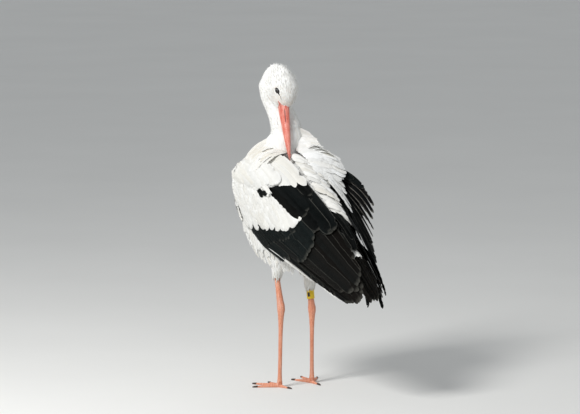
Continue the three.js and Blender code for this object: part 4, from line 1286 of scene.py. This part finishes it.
def loose_row(
    lines,
    count,
    half,
    stations=26,
    ends=(0, 1),
    reach=(0, 1),
    twist=8,
    sink=0.0,
    stagger=2.6,
    short=0.0,
    wander=0.012,
    inside=(0, 60, 470),
    **look,
):
    """A batch of feathers that each follow a curve through three lines: their roots, middles and
    tips. reach is the part of the curve that they cover, sink how far under it they lie, stagger
    how much deeper the last lies than the first, and inside a point that their undersides face."""
    share = np.linspace(ends[0], ends[1], count) + dice.normal(0, wander, count)
    last = reach[1] - short * dice.random(count)
    v = near_tip(stations)
    r = (reach[0] + (last - reach[0])[:, None] * v)[..., None]
    a, b, c = [smooth(lines[key], share)[:, None] for key in ("roots", "middles", "tips")]
    centre = a * (1 - r) * (1 - 2 * r) + 4 * b * r * (1 - r) + c * r * (2 * r - 1)
    beside = [smooth(lines[key], share + 0.03) - smooth(lines[key], share - 0.03) for key in lines]
    row_way = unit(np.mean(beside, 0))[:, None]
    along = unit(np.gradient(centre, axis=1))
    up = unit(np.cross(row_way, along))
    up = up * np.sign((up * (centre - np.array(inside))).sum((1, 2)))[:, None, None]
    side_way = unit(np.cross(along, up))
    turn = np.radians(dice.normal(twist, 4, (count, 1))) * (0.4 + 0.9 * v)
    side_way, up = tilted(side_way, unit(np.cross(side_way, along)), turn)
    layer = np.linspace(0, stagger, count)[:, None] + sink + dice.normal(0, 0.4, (count, 1))
    centre = placed(centre - up * layer[..., None])
    halves = half * dice.uniform(0.9, 1.12, count)
    places = unwrapped(centre[:, 0], region_shares(centre[:, 0]))
    return quills((centre, side_way, up), v, halves, places, **{**LOOSE, **look})


feather_piece(
    "fan_feathers",
    [
        loose_row(FAN, 6, 10, ends=(0, 0.66), short=0.04, twist=24, pointed=0.45, wander=0.006, camber=0.25),
        loose_row(FAN, 6, 9, ends=(0.04, 0.6), reach=(0, 0.86), sink=4, short=0.1, twist=24, pointed=0.4),
    ],
    ["wing_right_fan"],
    fan_web,
    "black_plumage",
)
RUMP = {"twist": 3, "pointed": 0.2}
OUTER = {"twist": 4, "pointed": 0.5, "wander": 0.01, "splits": 3}
feather_piece(
    "fan_shade_feathers",
    [
        loose_row(FAN, 5, 14, ends=(0.68, 0.97), short=0.1, twist=10, pointed=0.3, wander=0.006),
        loose_row(FAN, 9, 11, reach=(0, 0.74), sink=7, short=0.1, twist=14, pointed=0.3),
        loose_row(FAN, 9, 11, reach=(0, 0.5), sink=9, short=0.1, twist=10, pointed=0.3),
        loose_row(OVER_RUMP, 6, 12, sink=2, short=0.2, splits=2, **RUMP),
        loose_row(OVER_RUMP, 6, 12, reach=(0, 0.7), short=0.1, **RUMP),
        loose_row(OUTER_TIPS, 3, 13, **OUTER),
        loose_row(OUTER_TIPS, 4, 12, reach=(0, 0.8), sink=4, **OUTER),
    ],
    material=black_web,
    slot="black_plumage",
)
SILK = {
    "roots": [[-10, -36, 668], [-10, -4, 660], [-12, 30, 644], [-12, 70, 616]],
    "middles": [[-42, -6, 682], [-62, 22, 664], [-62, 52, 640], [-46, 84, 598]],
    "tips": [[-78, 30, 652], [-112, 62, 628], [-114, 88, 602], [-76, 104, 580]],
}
BACK_SILK = {
    "roots": [[17, -14, 655], [16, 44, 619], [14, 100, 574], [8, 160, 528]],
    "middles": [[-12, 26, 640], [-14, 84, 596], [-17, 140, 552], [-14, 198, 506]],
    "tips": [[-44, 78, 604], [-48, 132, 556], [-44, 186, 510], [-34, 240, 458]],
}
SILKY = {"across": COVERT_ACROSS, "tone": (0.4, 1.6), "wander": 0.03, "twist": 12, "camber": 0.3,
         "stagger": -2}
SOFT = {"across": COVERT_ACROSS, "tone": (0.8, 2.2)}
feather_piece(
    "swept_feathers",
    [
        loose_row(BACK_SILK, 13, 11, short=0.22, stain=0.08, splits=2, pointed=0.55, **SILKY),
        loose_row(BACK_SILK, 13, 10, reach=(0, 0.8), sink=-2.5, short=0.2, stain=0.1, **SILKY),
        loose_row(BACK_SILK, 13, 10, reach=(0, 0.58), sink=-5, short=0.2, stain=0.1, **SILKY),
        loose_row(SILK, 10, 19, short=0.04, splits=0.6, twist=2, pointed=0.1, wander=0.006, **SOFT),
        loose_row(SILK, 12, 16, reach=(0, 0.8), sink=-2, short=0.1, splits=0.6, twist=2, **SOFT),
        loose_row(SILK, 13, 14, reach=(0, 0.55), sink=-3, short=0.1, twist=2, **SOFT),
        loose_row(SWEPT, 9, 15, short=0.08, splits=1, **SOFT),
        loose_row(SWEPT, 9, 13, reach=(0, 0.75), sink=-2.5, short=0.1, **SOFT),
    ],
    ["wing_right_swept"],
)
feather_piece(
    "tail_feathers",
    [
        loose_row(TAIL, 6, 9, twist=2, stagger=1.5, short=0.08),
        loose_row(TAIL, 6, 10, twist=2, reach=(0, 0.5), sink=-3, across=COVERT_ACROSS),
    ],
    ["tail"],
)


# ---------------------------------------------------------------- ruffled plumes
# Feathers that the bird has raised or that hang free: the long mantle feathers that the bill has
# lifted over the left shoulder, the pointed ones that ruffle up behind the neck, the loose plumes
# of breast and belly below the wings, and the ragged ends of the thighs' feathering.

DRAPED = {
    "roots": [[28, -87, 687], [24, -64, 673], [14, -44, 662], [20, -17, 655]],
    "middles": [[61, -119, 662], [66, -95, 655], [68, -64, 654], [66, -20, 644]],
    "tips": [[110, -140, 598], [111, -112, 598], [110, -80, 604], [114, -26, 596]],
}
RUFFLED = {
    "roots": [[-24, -56, 724], [-30, -46, 706], [-32, -32, 686], [-30, -12, 664]],
    "middles": [[-40, -26, 718], [-50, -14, 700], [-55, 2, 681], [-60, 18, 660]],
    "tips": [[-58, 6, 706], [-70, 18, 690], [-78, 30, 668], [-90, 46, 640]],
}
BREAST = {
    "roots": [[30, -180, 530], [68, -150, 520], [84, -118, 500], [84, -64, 470], [78, -8, 446]],
    "middles": [[34, -176, 480], [74, -148, 466], [89, -108, 428], [90, -60, 400], [82, -4, 388]],
    "tips": [[34, -160, 430], [72, -132, 410], [85, -86, 376], [82, -44, 350], [70, 10, 336]],
}
FLANK = {
    "roots": [[46, -140, 652], [64, -160, 606], [74, -166, 550], [74, -160, 500]],
    "middles": [[72, -142, 630], [87, -158, 576], [92, -158, 520], [83, -150, 468]],
    "tips": [[92, -134, 600], [103, -138, 540], [103, -132, 484], [84, -124, 432]],
}
VENT = {
    "roots": [[60, 20, 404], [40, 56, 412], [0, 76, 418], [-40, 56, 412], [-60, 20, 404]],
    "middles": [[62, 30, 362], [40, 62, 370], [0, 86, 378], [-40, 62, 370], [-62, 30, 362]],
    "tips": [[54, 36, 312], [36, 62, 320], [0, 90, 340], [-36, 62, 330], [-56, 40, 326]],
}


def mirrored(lines):
    return {key: [[-x, y, z] for x, y, z in line] for key, line in lines.items()}


def cuff(leg, length):
    """Lines of feathers round a leg, over the end of its feathering."""
    end, hip = np.array(leg["feather_end"], float), np.array(leg["hip"], float)
    up_leg = unit(hip - end)
    turn = np.linspace(0, 2 * math.pi, 9)
    spoke = np.stack([np.cos(turn), np.sin(turn), 0 * turn], 1)
    return {
        "roots": end + up_leg * length * 0.8 + spoke * 14,
        "middles": end + up_leg * length * 0.25 + spoke * 13,
        "tips": end - up_leg * length * 0.4 + spoke * 9,
    }


def seated(lines):
    """The same lines, with their roots let into the surface of the plumage and their first
    feather laid along it."""

    def on_surface(point, lift):
        place, out = outline_tree.find_nearest(placed(point).tolist())[:2]
        return (np.array(place) + np.array(out) * lift * MM) / MM - ORIGIN

    roots = [on_surface(point, -3) for point in lines["roots"]]
    middles = [on_surface(lines["middles"][0], 1), *lines["middles"][1:]]
    tips = [on_surface(lines["tips"][0], 2), *lines["tips"][1:]]
    return {"roots": roots, "middles": middles, "tips": tips}


def plumes(lines, count, half, **more):
    settings = {"across": COVERT_ACROSS, "stations": 16, "twist": 3, "camber": 0.25, "stain": 0.06}
    return loose_row(lines, count, half, **{**settings, **more})


DRAPE = {"stagger": -3, "camber": 0.1}
RUFFLE = {"pointed": 0.85, "short": 0.3, "wander": 0.03, "camber": 0.1}
mantle = [
    plumes(DRAPED, 13, 9, stain=0.12, short=0.3, wander=0.02, ends=(0, 0.9), pointed=0.5, **DRAPE),
    plumes(DRAPED, 13, 8, stain=0.3, reach=(0, 0.75), sink=-2, short=0.4, pointed=0.5, **DRAPE),
    plumes(DRAPED, 13, 8, stain=0.2, reach=(0, 0.5), sink=-4, short=0.3, pointed=0.5, **DRAPE),
    plumes(DRAPED, 15, 10, stain=0.15, reach=(0, 0.94), sink=2, ends=(0.02, 0.9), **DRAPE),
    plumes(RUFFLED, 22, 6.5, reach=(0, 0.85), sink=2, pointed=0.5, camber=0.1),
    plumes(RUFFLED, 22, 5.5, splits=0.5, **RUFFLE),
    plumes(RUFFLED, 22, 5, reach=(0, 0.8), sink=-3, **RUFFLE),
    plumes(RUFFLED, 22, 5, reach=(0, 0.6), sink=-5, **RUFFLE),
]
feather_piece("mantle_feathers", mantle)

LOW = {"short": 0.22, "pointed": 0.5, "wander": 0.02, "splits": 1, "inside": (0, 0, 470)}
batches = []
for lines in [seated(lines) for lines in (BREAST, mirrored(BREAST), FLANK, mirrored(FLANK), VENT)]:
    for layer in range(3):
        batches.append(plumes(lines, 26, 9.5, reach=(0, 1 - 0.16 * layer), sink=1.5 - 3 * layer, **LOW))
feather_piece("breast_plumes", batches)

CUFF = {"short": 0.4, "pointed": 0.8, "wander": 0.03, "stagger": 0}
CUFF_LENGTHS = (26, 34, 44)
batches = []
for leg in LEGS.values():
    for layer, length in enumerate(CUFF_LENGTHS):
        lines, inside = cuff(leg, length), leg["feather_end"]
        batches.append(plumes(lines, 22, 4.2, sink=-0.8 * layer, inside=inside, **CUFF))
feather_piece("cuff_feathers", batches)

# The velvet of forehead and chin ends in a rounded lobe on the horn of the bill.
FACE_BACK = (-3, 4, 16)  # behind the bill's base, with the face's half width and half height there
FACE_WIDE = (13, 19, 26)
FACE_HIGH = (17.5, 23.5, 31.5)
FRINGES = ((26, 154, 12.5), (-154, -26, 8.0))  # angles round the bill, and the reach along it
FRINGE_STEP = 2.2  # how much further back each of its four layers starts
FRINGE = {"pointed": 0.8, "twist": 0, "splits": 0, "stagger": 0, "short": 0.25, "camber": 0.3}


def fringe(start, end, front):
    """Lines over the bill's base between two angles round it, rooted front ahead of it."""
    turn = np.radians(np.linspace(start, end, 9))
    lines = {}
    for key, back, lift in (("roots", 0, -0.8), ("middles", 6, 0.9), ("tips", 12, 1.5)):
        ahead = front * np.abs(np.sin(turn)) ** 0.7 - 1 - back
        wide = np.interp(-ahead, FACE_BACK, FACE_WIDE) + lift
        high = np.interp(-ahead, FACE_BACK, FACE_HIGH) + lift
        lines[key] = on_head(ahead, high * np.sin(turn), wide * np.cos(turn))
    return lines


batches = []
for start, end, reach in FRINGES:
    for layer in range(4):
        lines = fringe(start, end, reach - FRINGE_STEP * layer)
        fine = {"stations": 8, "across": (-1, 0, 1), "inside": on_head(-4, 0, 0), "tone": (0.9, 2.1)}
        batches.append(loose_row(lines, 30, 1.5, **fine, **FRINGE))
feather_piece("fringe_feathers", batches)


# ---------------------------------------------------------------- eyes
# The eye of an adult stork is small for its head and all but black: a dark brown iris round a
# black pupil, under a clear, wet cornea. It is set into the lids and turns with the head.

EYE_RINGS = 40
EYE_STEPS = 48
EYE_CLEARANCE = 0.1  # how far inside the lids' own sphere the eyeball lies
CORNEA_RISE = 0.5
CORNEA_SPREAD = 0.5  # radians from the middle of the eye
PUPIL_SHARE = 0.34
IRIS_SHARE = 0.72

# The eyeball under its clear cornea and a film of tears: smooth, dark brown round the pupil.
wet_eye, tree, shader = substance("wet_dark_brown_eye")
polar = node(tree, "Attribute", out="Fac", attribute_name="polar")
place = node(tree, "TexCoord", out="Object")
fibres = node(tree, "TexNoise", {"Vector": place, "Scale": 1 / 0.0007, "Detail": 3})
pupil = [(0.0, "030303"), (PUPIL_SHARE - 0.02, "040404")]
iris = [(PUPIL_SHARE + 0.02, "2E2018"), (IRIS_SHARE - 0.05, "1D1511"), (IRIS_SHARE, "060505")]
shades = node(tree, "ValToRGB", {0: polar}, stops=pupil + iris)
lit = node(tree, "Mix", {0: fibres, 6: shades, 7: "0C0807"}, **MIX)
feed(shader, {"Base Color": lit, "Roughness": 0.05, "IOR": 1.376, "Coat Weight": 1.0, "Coat Roughness": 0.02})

for name, side in (("eye_right", 1), ("eye_left", -1)):
    polar_angle = np.linspace(0, math.pi, EYE_RINGS + 1)[1:-1]
    turn = np.linspace(0, 2 * math.pi, EYE_STEPS, endpoint=False)
    ball = EYE_RADIUS - EYE_CLEARANCE
    bulge = ball + CORNEA_RISE * np.exp(-((polar_angle / CORNEA_SPREAD) ** 2))
    ahead = np.append(np.multiply.outer(bulge * np.sin(polar_angle), np.cos(turn)), (0, 0))
    up = np.append(np.multiply.outer(bulge * np.sin(polar_angle), np.sin(turn)), (0, 0))
    out = np.append(np.repeat(bulge * np.cos(polar_angle), EYE_STEPS), (ball + CORNEA_RISE, -ball))
    points = placed(on_head(EYE_SEAT[0] + ahead, EYE_SEAT[1] + up, side * (seats[side] + out)))
    faces = tube_faces(len(polar_angle), EYE_STEPS)
    eye = mesh_of(name + "_ball", points, faces[:, ::-1] if side > 0 else faces, wet_eye)
    store(eye, "polar", np.append(np.repeat(polar_angle, EYE_STEPS), (0, math.pi)) / (math.pi / 3))
    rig.ride(eye, "root")
    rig.slot(eye, "eye")
    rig.replaces(eye, name)


# ---------------------------------------------------------------- bill
# Two horn sheaths over bone, coral red, that close on the gape. The upper one carries a slit
# nostril in a long shallow groove on each side, and both are finely ridged along their length.

BILL_LENGTH = 164
BILL_BASE_DEPTH = 35
BILL_BASE_WIDTH = 26
TIP_PLAY = 6  # how far past its tip the bill's sides would meet
BLUNTNESS = 0.7
BILL_STATIONS = 82
BILL_STEPS = 38
RIM_STEPS = 0.35  # how far the steps round it crowd towards the gape
CORNER_STATIONS = (-14, -11, -10, -9, -7.5, -6, -4, -2)
CORNER_RISE = 2.0  # how far the corners of the mouth stand out of the cheeks' skin
GAPE_GAP = 0.35
KEEL = (0.05, 0.3)  # height of the ridge, as a part of the bill's, and its half width in radians
TOMIUM = (0.35, 0.12)  # how far the cutting edge stands out, and its half width in radians
NOSTRIL = {"from": 16, "to": 58, "turn": 0.62, "width": 0.12, "deep": 1.5}
LONG_GROOVE = {"to": 60, "fades": 40, "width": 0.22, "deep": 0.35}

# Horn of the bill: red through and through, with painted highlights as pale streaks along its
# ridges, and painted shade in its nostril slits.
bill_horn, tree, shader = substance("coral_red_horn")
along = node(tree, "Attribute", out="Vector", attribute_name="bill")
from_base, _, in_groove = node(tree, "SeparateXYZ", {0: along}, XYZ)
stops = [(0.0, "AC3422"), (0.12, "C44029"), (0.6, "CE5038"), (0.9, "BE4430"), (1.0, "803020")]
red = node(tree, "ValToRGB", {0: from_base}, stops=stops)
stretched = node(tree, "Mapping", {"Vector": along, "Scale": (6, 34, 1)})
ridges = node(tree, "TexNoise", {"Vector": stretched, "Scale": 1, "Detail": 5, "Roughness": 0.6})
# Painted highlights: pale streaks along the ridges.
pale = node(tree, "MapRange", {0: ridges, 1: 0.46, 2: 0.61, 3: 0.0, 4: 0.85})
streaked = node(tree, "Mix", {0: pale, 6: red, 7: "F4C4B4"}, **MIX)
# Painted shade: a dark colour in the nostril slits.
painted_nostril_shade = node(tree, "MapRange", {0: in_groove, 1: 0.1, 2: 1.0, 3: 0.0, 4: 0.9})
grooved = node(tree, "Mix", {0: painted_nostril_shade, 6: streaked, 7: "3A1A14"}, **MIX)
relief = node(tree, "Bump", {"Height": ridges, "Strength": 0.35, "Distance": 0.0006})
polish = node(tree, "MapRange", {0: ridges, 1: 0.3, 2: 0.7, 3: 0.28, 4: 0.45})
feed(shader, {"Base Color": grooved, "Normal": relief, "Roughness": polish})


def swell(offset, width, power=2):
    """1 where the offset is nothing, and falling off softly over the width."""
    return np.exp(-((offset / width) ** power))


def bill_part(sign):
    """One sheath of the bill: sign is 1 for the upper and -1 for the lower."""
    x = np.concatenate([CORNER_STATIONS, np.linspace(0, 1, BILL_STATIONS) ** 0.9 * BILL_LENGTH])
    taper = (1 - np.maximum(x, 0) / (BILL_LENGTH + TIP_PLAY)) ** BLUNTNESS
    angle = np.linspace(0, math.pi, BILL_STEPS)
    angle = angle - RIM_STEPS * np.sin(2 * angle)
    outward = np.sign(np.cos(angle))
    from_gape = np.minimum(angle, math.pi - angle)
    half = BILL_BASE_DEPTH / 2 * taper[:, None]
    keel = 1 + KEEL[0] * swell(angle - math.pi / 2, KEEL[1])
    right = BILL_BASE_WIDTH / 2 * taper[:, None] * outward * np.abs(np.cos(angle)) ** 0.92
    height = GAPE_GAP / 2 + (half - GAPE_GAP / 2) * np.sin(angle) * keel
    groove = np.zeros_like(right)
    if sign > 0:
        share = (x - NOSTRIL["from"]) / (NOSTRIL["to"] - NOSTRIL["from"])
        slit = swell(np.clip(np.abs(share - 0.5) - 0.32, 0, 9), 0.16)[:, None]
        beside = np.minimum(np.abs(angle - NOSTRIL["turn"]), np.abs(math.pi - angle - NOSTRIL["turn"]))
        groove = slit * swell(beside, NOSTRIL["width"])
        fading = swell(np.clip(x - LONG_GROOVE["to"], 0, 999), LONG_GROOVE["fades"])[:, None]
        hollow = LONG_GROOVE["deep"] * fading * swell(beside, LONG_GROOVE["width"])
        right = right - np.cos(angle) * (groove * NOSTRIL["deep"] + hollow)
    # The corners of the mouth run back over the cheeks as two pointed flaps.
    cheek = np.array([cheek_height(1, min(place, 0.0), 0) for place in x]) + CORNER_RISE
    flap = np.maximum(cheek - BILL_BASE_WIDTH / 2, 0) * (1 - step_up(x, 0, 5))
    flap = flap * step_up(x, -GAPE_CORNER - 2, -GAPE_CORNER)
    flap_half = GAPE_CORNER_HALF / BILL_BASE_DEPTH * 2 * np.clip(1 + x / GAPE_CORNER, 0.08, 1)
    right = right + outward * (flap[:, None] * swell(from_gape, flap_half[:, None], 4))
    right = right + outward * (swell(from_gape, TOMIUM[1]) * TOMIUM[0]) * taper[:, None]
    rings = on_head(np.repeat(x, BILL_STEPS), sign * height.ravel(), right.ravel())
    points = np.concatenate([rings, on_head([x[0], x[-1] + 0.8], [sign * 3.0, sign * 0.4], [0.0, 0.0])])
    faces = tube_faces(len(x), BILL_STEPS)
    shares = np.stack([np.repeat(x / BILL_LENGTH, BILL_STEPS), np.tile(angle, len(x)), groove.ravel()], 1)
    shares = np.concatenate([shares, [[0, 1.5, 0], [1, 1.5, 0]]])
    return placed(points), faces if sign < 0 else faces[:, ::-1], shares


for name, sign in (("bill_upper", 1), ("bill_lower", -1)):
    points, faces, shares = bill_part(sign)
    sheath = mesh_of(name + "_sheath", points, faces, bill_horn)
    store(sheath, "bill", shares)
    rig.ride(sheath, "root")
    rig.slot(sheath, "bill_horn")
    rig.replaces(sheath, name)


# ---------------------------------------------------------------- claws
# Short, blunt, flattened nails of dark horn, one on each toe, worn smooth underneath.

MIDDLE_TOE = 76
CLAW_LENGTH = 13
CLAW_ROOT = 1.5  # how far it reaches back into the toe
CLAW_HALF = 3.1
CLAW_MIDDLE = (2.6, 1.2)  # height of its middle at the root, and how far it drops to the tip
CLAW_HIGH = (1.5, 1.5)  # half its height at the tip, and what it gains where it is full
TOES = {
    "inner": {"angle": -33, "length": 0.78},
    "middle": {"angle": 0, "length": 1.0},
    "outer": {"angle": 34, "length": 0.84},
    "hind": {"angle": 168, "length": 0.42},
}
CLAW_STATIONS = 14
CLAW_STEPS = 16

# Horn of the claws: dark brown, paler in the layers that it has grown last.
claw_horn, tree, shader = substance("dark_brown_horn")
place = node(tree, "TexCoord", out="Object")
growth = node(tree, "TexNoise", {"Vector": place, "Scale": 1 / 0.004, "Detail": 5})
tint = node(tree, "Mix", {0: growth, 6: "241713", 7: "5A4238"}, **MIX)
relief = node(tree, "Bump", {"Height": growth, "Strength": 0.3, "Distance": 0.0004})
feed(shader, {"Base Color": tint, "Normal": relief, "Roughness": 0.42})

share = np.linspace(0, 1, CLAW_STATIONS)
taper = np.sqrt(np.clip(1 - share**2.4, 0.02, 1))[:, None]
angle = np.linspace(0, 2 * math.pi, CLAW_STEPS, endpoint=False)
wide = CLAW_HALF * taper * np.cos(angle)
middle = CLAW_MIDDLE[0] - CLAW_MIDDLE[1] * share[:, None]
high = np.maximum(middle + (CLAW_HIGH[0] + CLAW_HIGH[1] * taper) * np.sin(angle), 0.05)
for leg_name, leg in LEGS.items():
    for toe_name, toe in TOES.items():
        heading = math.radians(leg["side"] * (leg["toe_out"] + toe["angle"]))
        way = np.array([math.sin(heading), -math.cos(heading), 0])
        beside = np.array([-way[1], way[0], 0])
        out = MIDDLE_TOE * toe["length"] - CLAW_ROOT + share * (CLAW_LENGTH + CLAW_ROOT)
        middle = np.array([*leg["ankle"][:2], 0]) + out[:, None] * way
        rings = middle[:, None] + wide[..., None] * beside + high[..., None] * np.array([0, 0, 1.0])
        hubs = [rings[0].mean(0), rings[-1].mean(0) + way * 0.5]
        points = placed(np.concatenate([rings.reshape(-1, 3), hubs]))
        faces = tube_faces(CLAW_STATIONS, CLAW_STEPS)
        nail = mesh_of(f"nail_{leg_name}_{toe_name}", points, faces, claw_horn)
        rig.ride(nail, "root")
        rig.slot(nail, "claw_horn")
        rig.replaces(nail, f"claw_{leg_name}_{toe_name}")


# ---------------------------------------------------------------- leg ring
# A ring of flat yellow plastic strip, wrapped round the leg over the hock so that its ends lap,
# with plain dark bars let into it. It hangs loose on the hock's swelling.

RING_HEIGHT = 25
RING_INNER_RADIUS = 9.9
RING_PLAY = 0.15
RING_WALL = 1.4
RING_TURNS = 1.08
RING_LAP = (0.86, 1.0)  # the turn over which the outer end climbs over the inner one
RING_STEPS = 120
RING_DROP = 4  # how far below the end of the feathers its top lies
BARS = (0.18, 0.5, 0.82)  # places round the ring
BAR_WIDTH = 0.055
BAR_REACH = (0.26, 0.74)
BAR_EDGE = 0.004
BAR_DEEP = 0.12

# Laminated plastic: yellow, scuffed dull by the leg, and dark where the bars are cut into it.
yellow_plastic, tree, shader = substance("yellow_laminated_plastic")
strip = node(tree, "Attribute", out="Vector", attribute_name="strip")
bar = node(tree, "SeparateXYZ", {0: strip}, 2)
place = node(tree, "TexCoord", out="Object")
scuffs = node(tree, "TexNoise", {"Vector": place, "Scale": 1 / 0.004, "Detail": 6, "Roughness": 0.7})
yellow = node(tree, "Mix", {0: scuffs, 6: "E0B414", 7: "F6D834"}, **MIX)
inked = node(tree, "Mix", {0: bar, 6: yellow, 7: "1B1A17"}, **MIX)
relief = node(tree, "Bump", {"Height": scuffs, "Strength": 0.15, "Distance": 0.0003})
polish = node(tree, "MapRange", {0: scuffs, 1: 0.3, 2: 0.7, 3: 0.25, 4: 0.5})
feed(shader, {"Base Color": inked, "Normal": relief, "Roughness": polish})

leg = LEGS["right"]
ring_up = unit(np.array(leg["feather_end"], float) - np.array(leg["hock"], float))
ring_middle = np.array(leg["feather_end"]) - ring_up * (RING_HEIGHT / 2 + RING_DROP)
ring_ahead = unit(np.cross(ring_up, np.array([1.0, 0, 0])))
ring_right = np.cross(ring_ahead, ring_up)
turns = np.linspace(0, RING_TURNS, RING_STEPS)
radius = RING_INNER_RADIUS + RING_PLAY + 0.9 * RING_WALL * step_up(turns, *RING_LAP)
bar_levels = [BAR_REACH[0], BAR_REACH[0] + BAR_EDGE, 0.5, BAR_REACH[1], BAR_REACH[1] + BAR_EDGE]
levels = np.array([0, 0.02, 0.1, *bar_levels, 0.9, 0.98, 1])
outer = np.array([0.45, 0.9, 1, 1, 1, 1, 1, 1, 1, 0.9, 0.45])  # the wall's edges are rounded
ring_radii = np.concatenate([outer * RING_WALL * 0.62, np.zeros(len(levels))])
ring_levels = np.concatenate([levels, levels[::-1]]) - 0.5
across_ring = len(ring_levels)
angle = turns * 2 * math.pi
spoke = np.cos(angle)[:, None] * ring_ahead + np.sin(angle)[:, None] * ring_right
in_bar = (np.abs(turns[:, None] - BARS) < BAR_WIDTH).any(1)
bar_half = (BAR_REACH[1] - BAR_REACH[0]) / 2
inked_levels = (np.abs(ring_levels - BAR_EDGE / 2) < bar_half) & (ring_radii > 0)
mark = in_bar[:, None] & inked_levels[None]
depth_of = radius[:, None] + ring_radii[None] - BAR_DEEP * mark
up_ring = ring_up * (ring_levels * RING_HEIGHT)[None, :, None]
points = ring_middle + spoke[:, None] * depth_of[..., None] + up_ring
points = placed(np.concatenate([points.reshape(-1, 3), points[0].mean(0)[None], points[-1].mean(0)[None]]))
leg_ring = mesh_of("ring_strip", points, tube_faces(RING_STEPS, across_ring), yellow_plastic)
values = np.stack([np.repeat(turns, across_ring), np.tile(ring_levels, RING_STEPS), mark.ravel()], 1)
store(leg_ring, "strip", np.concatenate([values, np.zeros((2, 3))]))
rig.ride(leg_ring, "root")
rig.slot(leg_ring, "ring_plastic")
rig.replaces(leg_ring, "leg_ring")


# ---------------------------------------------------------------- camera, floor and light
# A plain pale floor under soft studio light: a broad lamp high on the left, a weak one from the
# right, and an even pale sky.

VIEW = (145, 8, 8.0)  # degrees round the bird, degrees up, and metres away
VIEW_WIDTH = 1.624  # metres across the frame at the bird
FILM_WIDTH = 36
AIM = placed(np.array([13.9, -9.8, 507]))


def facing(name, data, turn, rise, distance):
    """Puts a camera or a lamp round the bird and turns it to face the bird."""
    made = bpy.data.objects.new(name, data)
    bpy.context.scene.collection.objects.link(made)
    a, e = math.radians(turn), math.radians(rise)
    way = Vector((math.sin(a) * math.cos(e), -math.cos(a) * math.cos(e), math.sin(e)))
    made.location = Vector(AIM) + way * distance
    made.rotation_euler = way.to_track_quat("Z", "Y").to_euler()
    return made


camera = facing("camera", bpy.data.cameras.new("camera"), *VIEW)
camera.data.sensor_width = FILM_WIDTH
camera.data.lens = FILM_WIDTH * VIEW[2] / VIEW_WIDTH
camera.data.clip_end = 200
bpy.context.scene.camera = camera

FLOOR_SIZE = 90
# A matt painted floor, slightly cloudy and finely grained.
floor_paint, tree, shader = substance("pale_matt_floor")
place = node(tree, "TexCoord", out="Object")
cloud = node(tree, "TexNoise", {"Vector": place, "Scale": 1.5, "Detail": 4})
tint = node(tree, "Mix", {0: cloud, 6: "E6E5E1", 7: "EEEDE9"}, **MIX)
grain = node(tree, "TexNoise", {"Vector": place, "Scale": 260, "Detail": 2})
relief = node(tree, "Bump", {"Height": grain, "Strength": 0.1, "Distance": 0.001})
feed(shader, {"Base Color": tint, "Normal": relief, "Roughness": 0.75})
c = FLOOR_SIZE / 2
corners = [(-c, -c, 0), (c, -c, 0), (c, c, 0), (-c, c, 0)]
floor = mesh_of("floor", corners, [(0, 1, 2), (0, 2, 3)], floor_paint, smooth_shading=False)
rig.stage(floor)

# Each lamp's place, as the camera's, with its size in metres and its power in watts.
for name, place, size, power in (("key_lamp", (99, 43, 3.4), 1.0, 98), ("fill_lamp", (215, 25, 4.0), 2.4, 5)):
    lamp = facing(name, bpy.data.lights.new(name, "AREA"), *place)
    lamp.data.size = size
    lamp.data.energy = power

SKY_STRENGTH = 0.54
sky = bpy.data.worlds.new("pale_sky")
sky.use_nodes = True
feed(sky.node_tree.nodes["Background"], {0: "E4E8EC", 1: SKY_STRENGTH})
bpy.context.scene.world = sky
bpy.context.scene.view_settings.view_transform = "Standard"

size_file = open("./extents.json", "w")
with size_file:
    json.dump({"cad": cad_box, "visual": [list(corner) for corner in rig.bounds()]}, size_file)
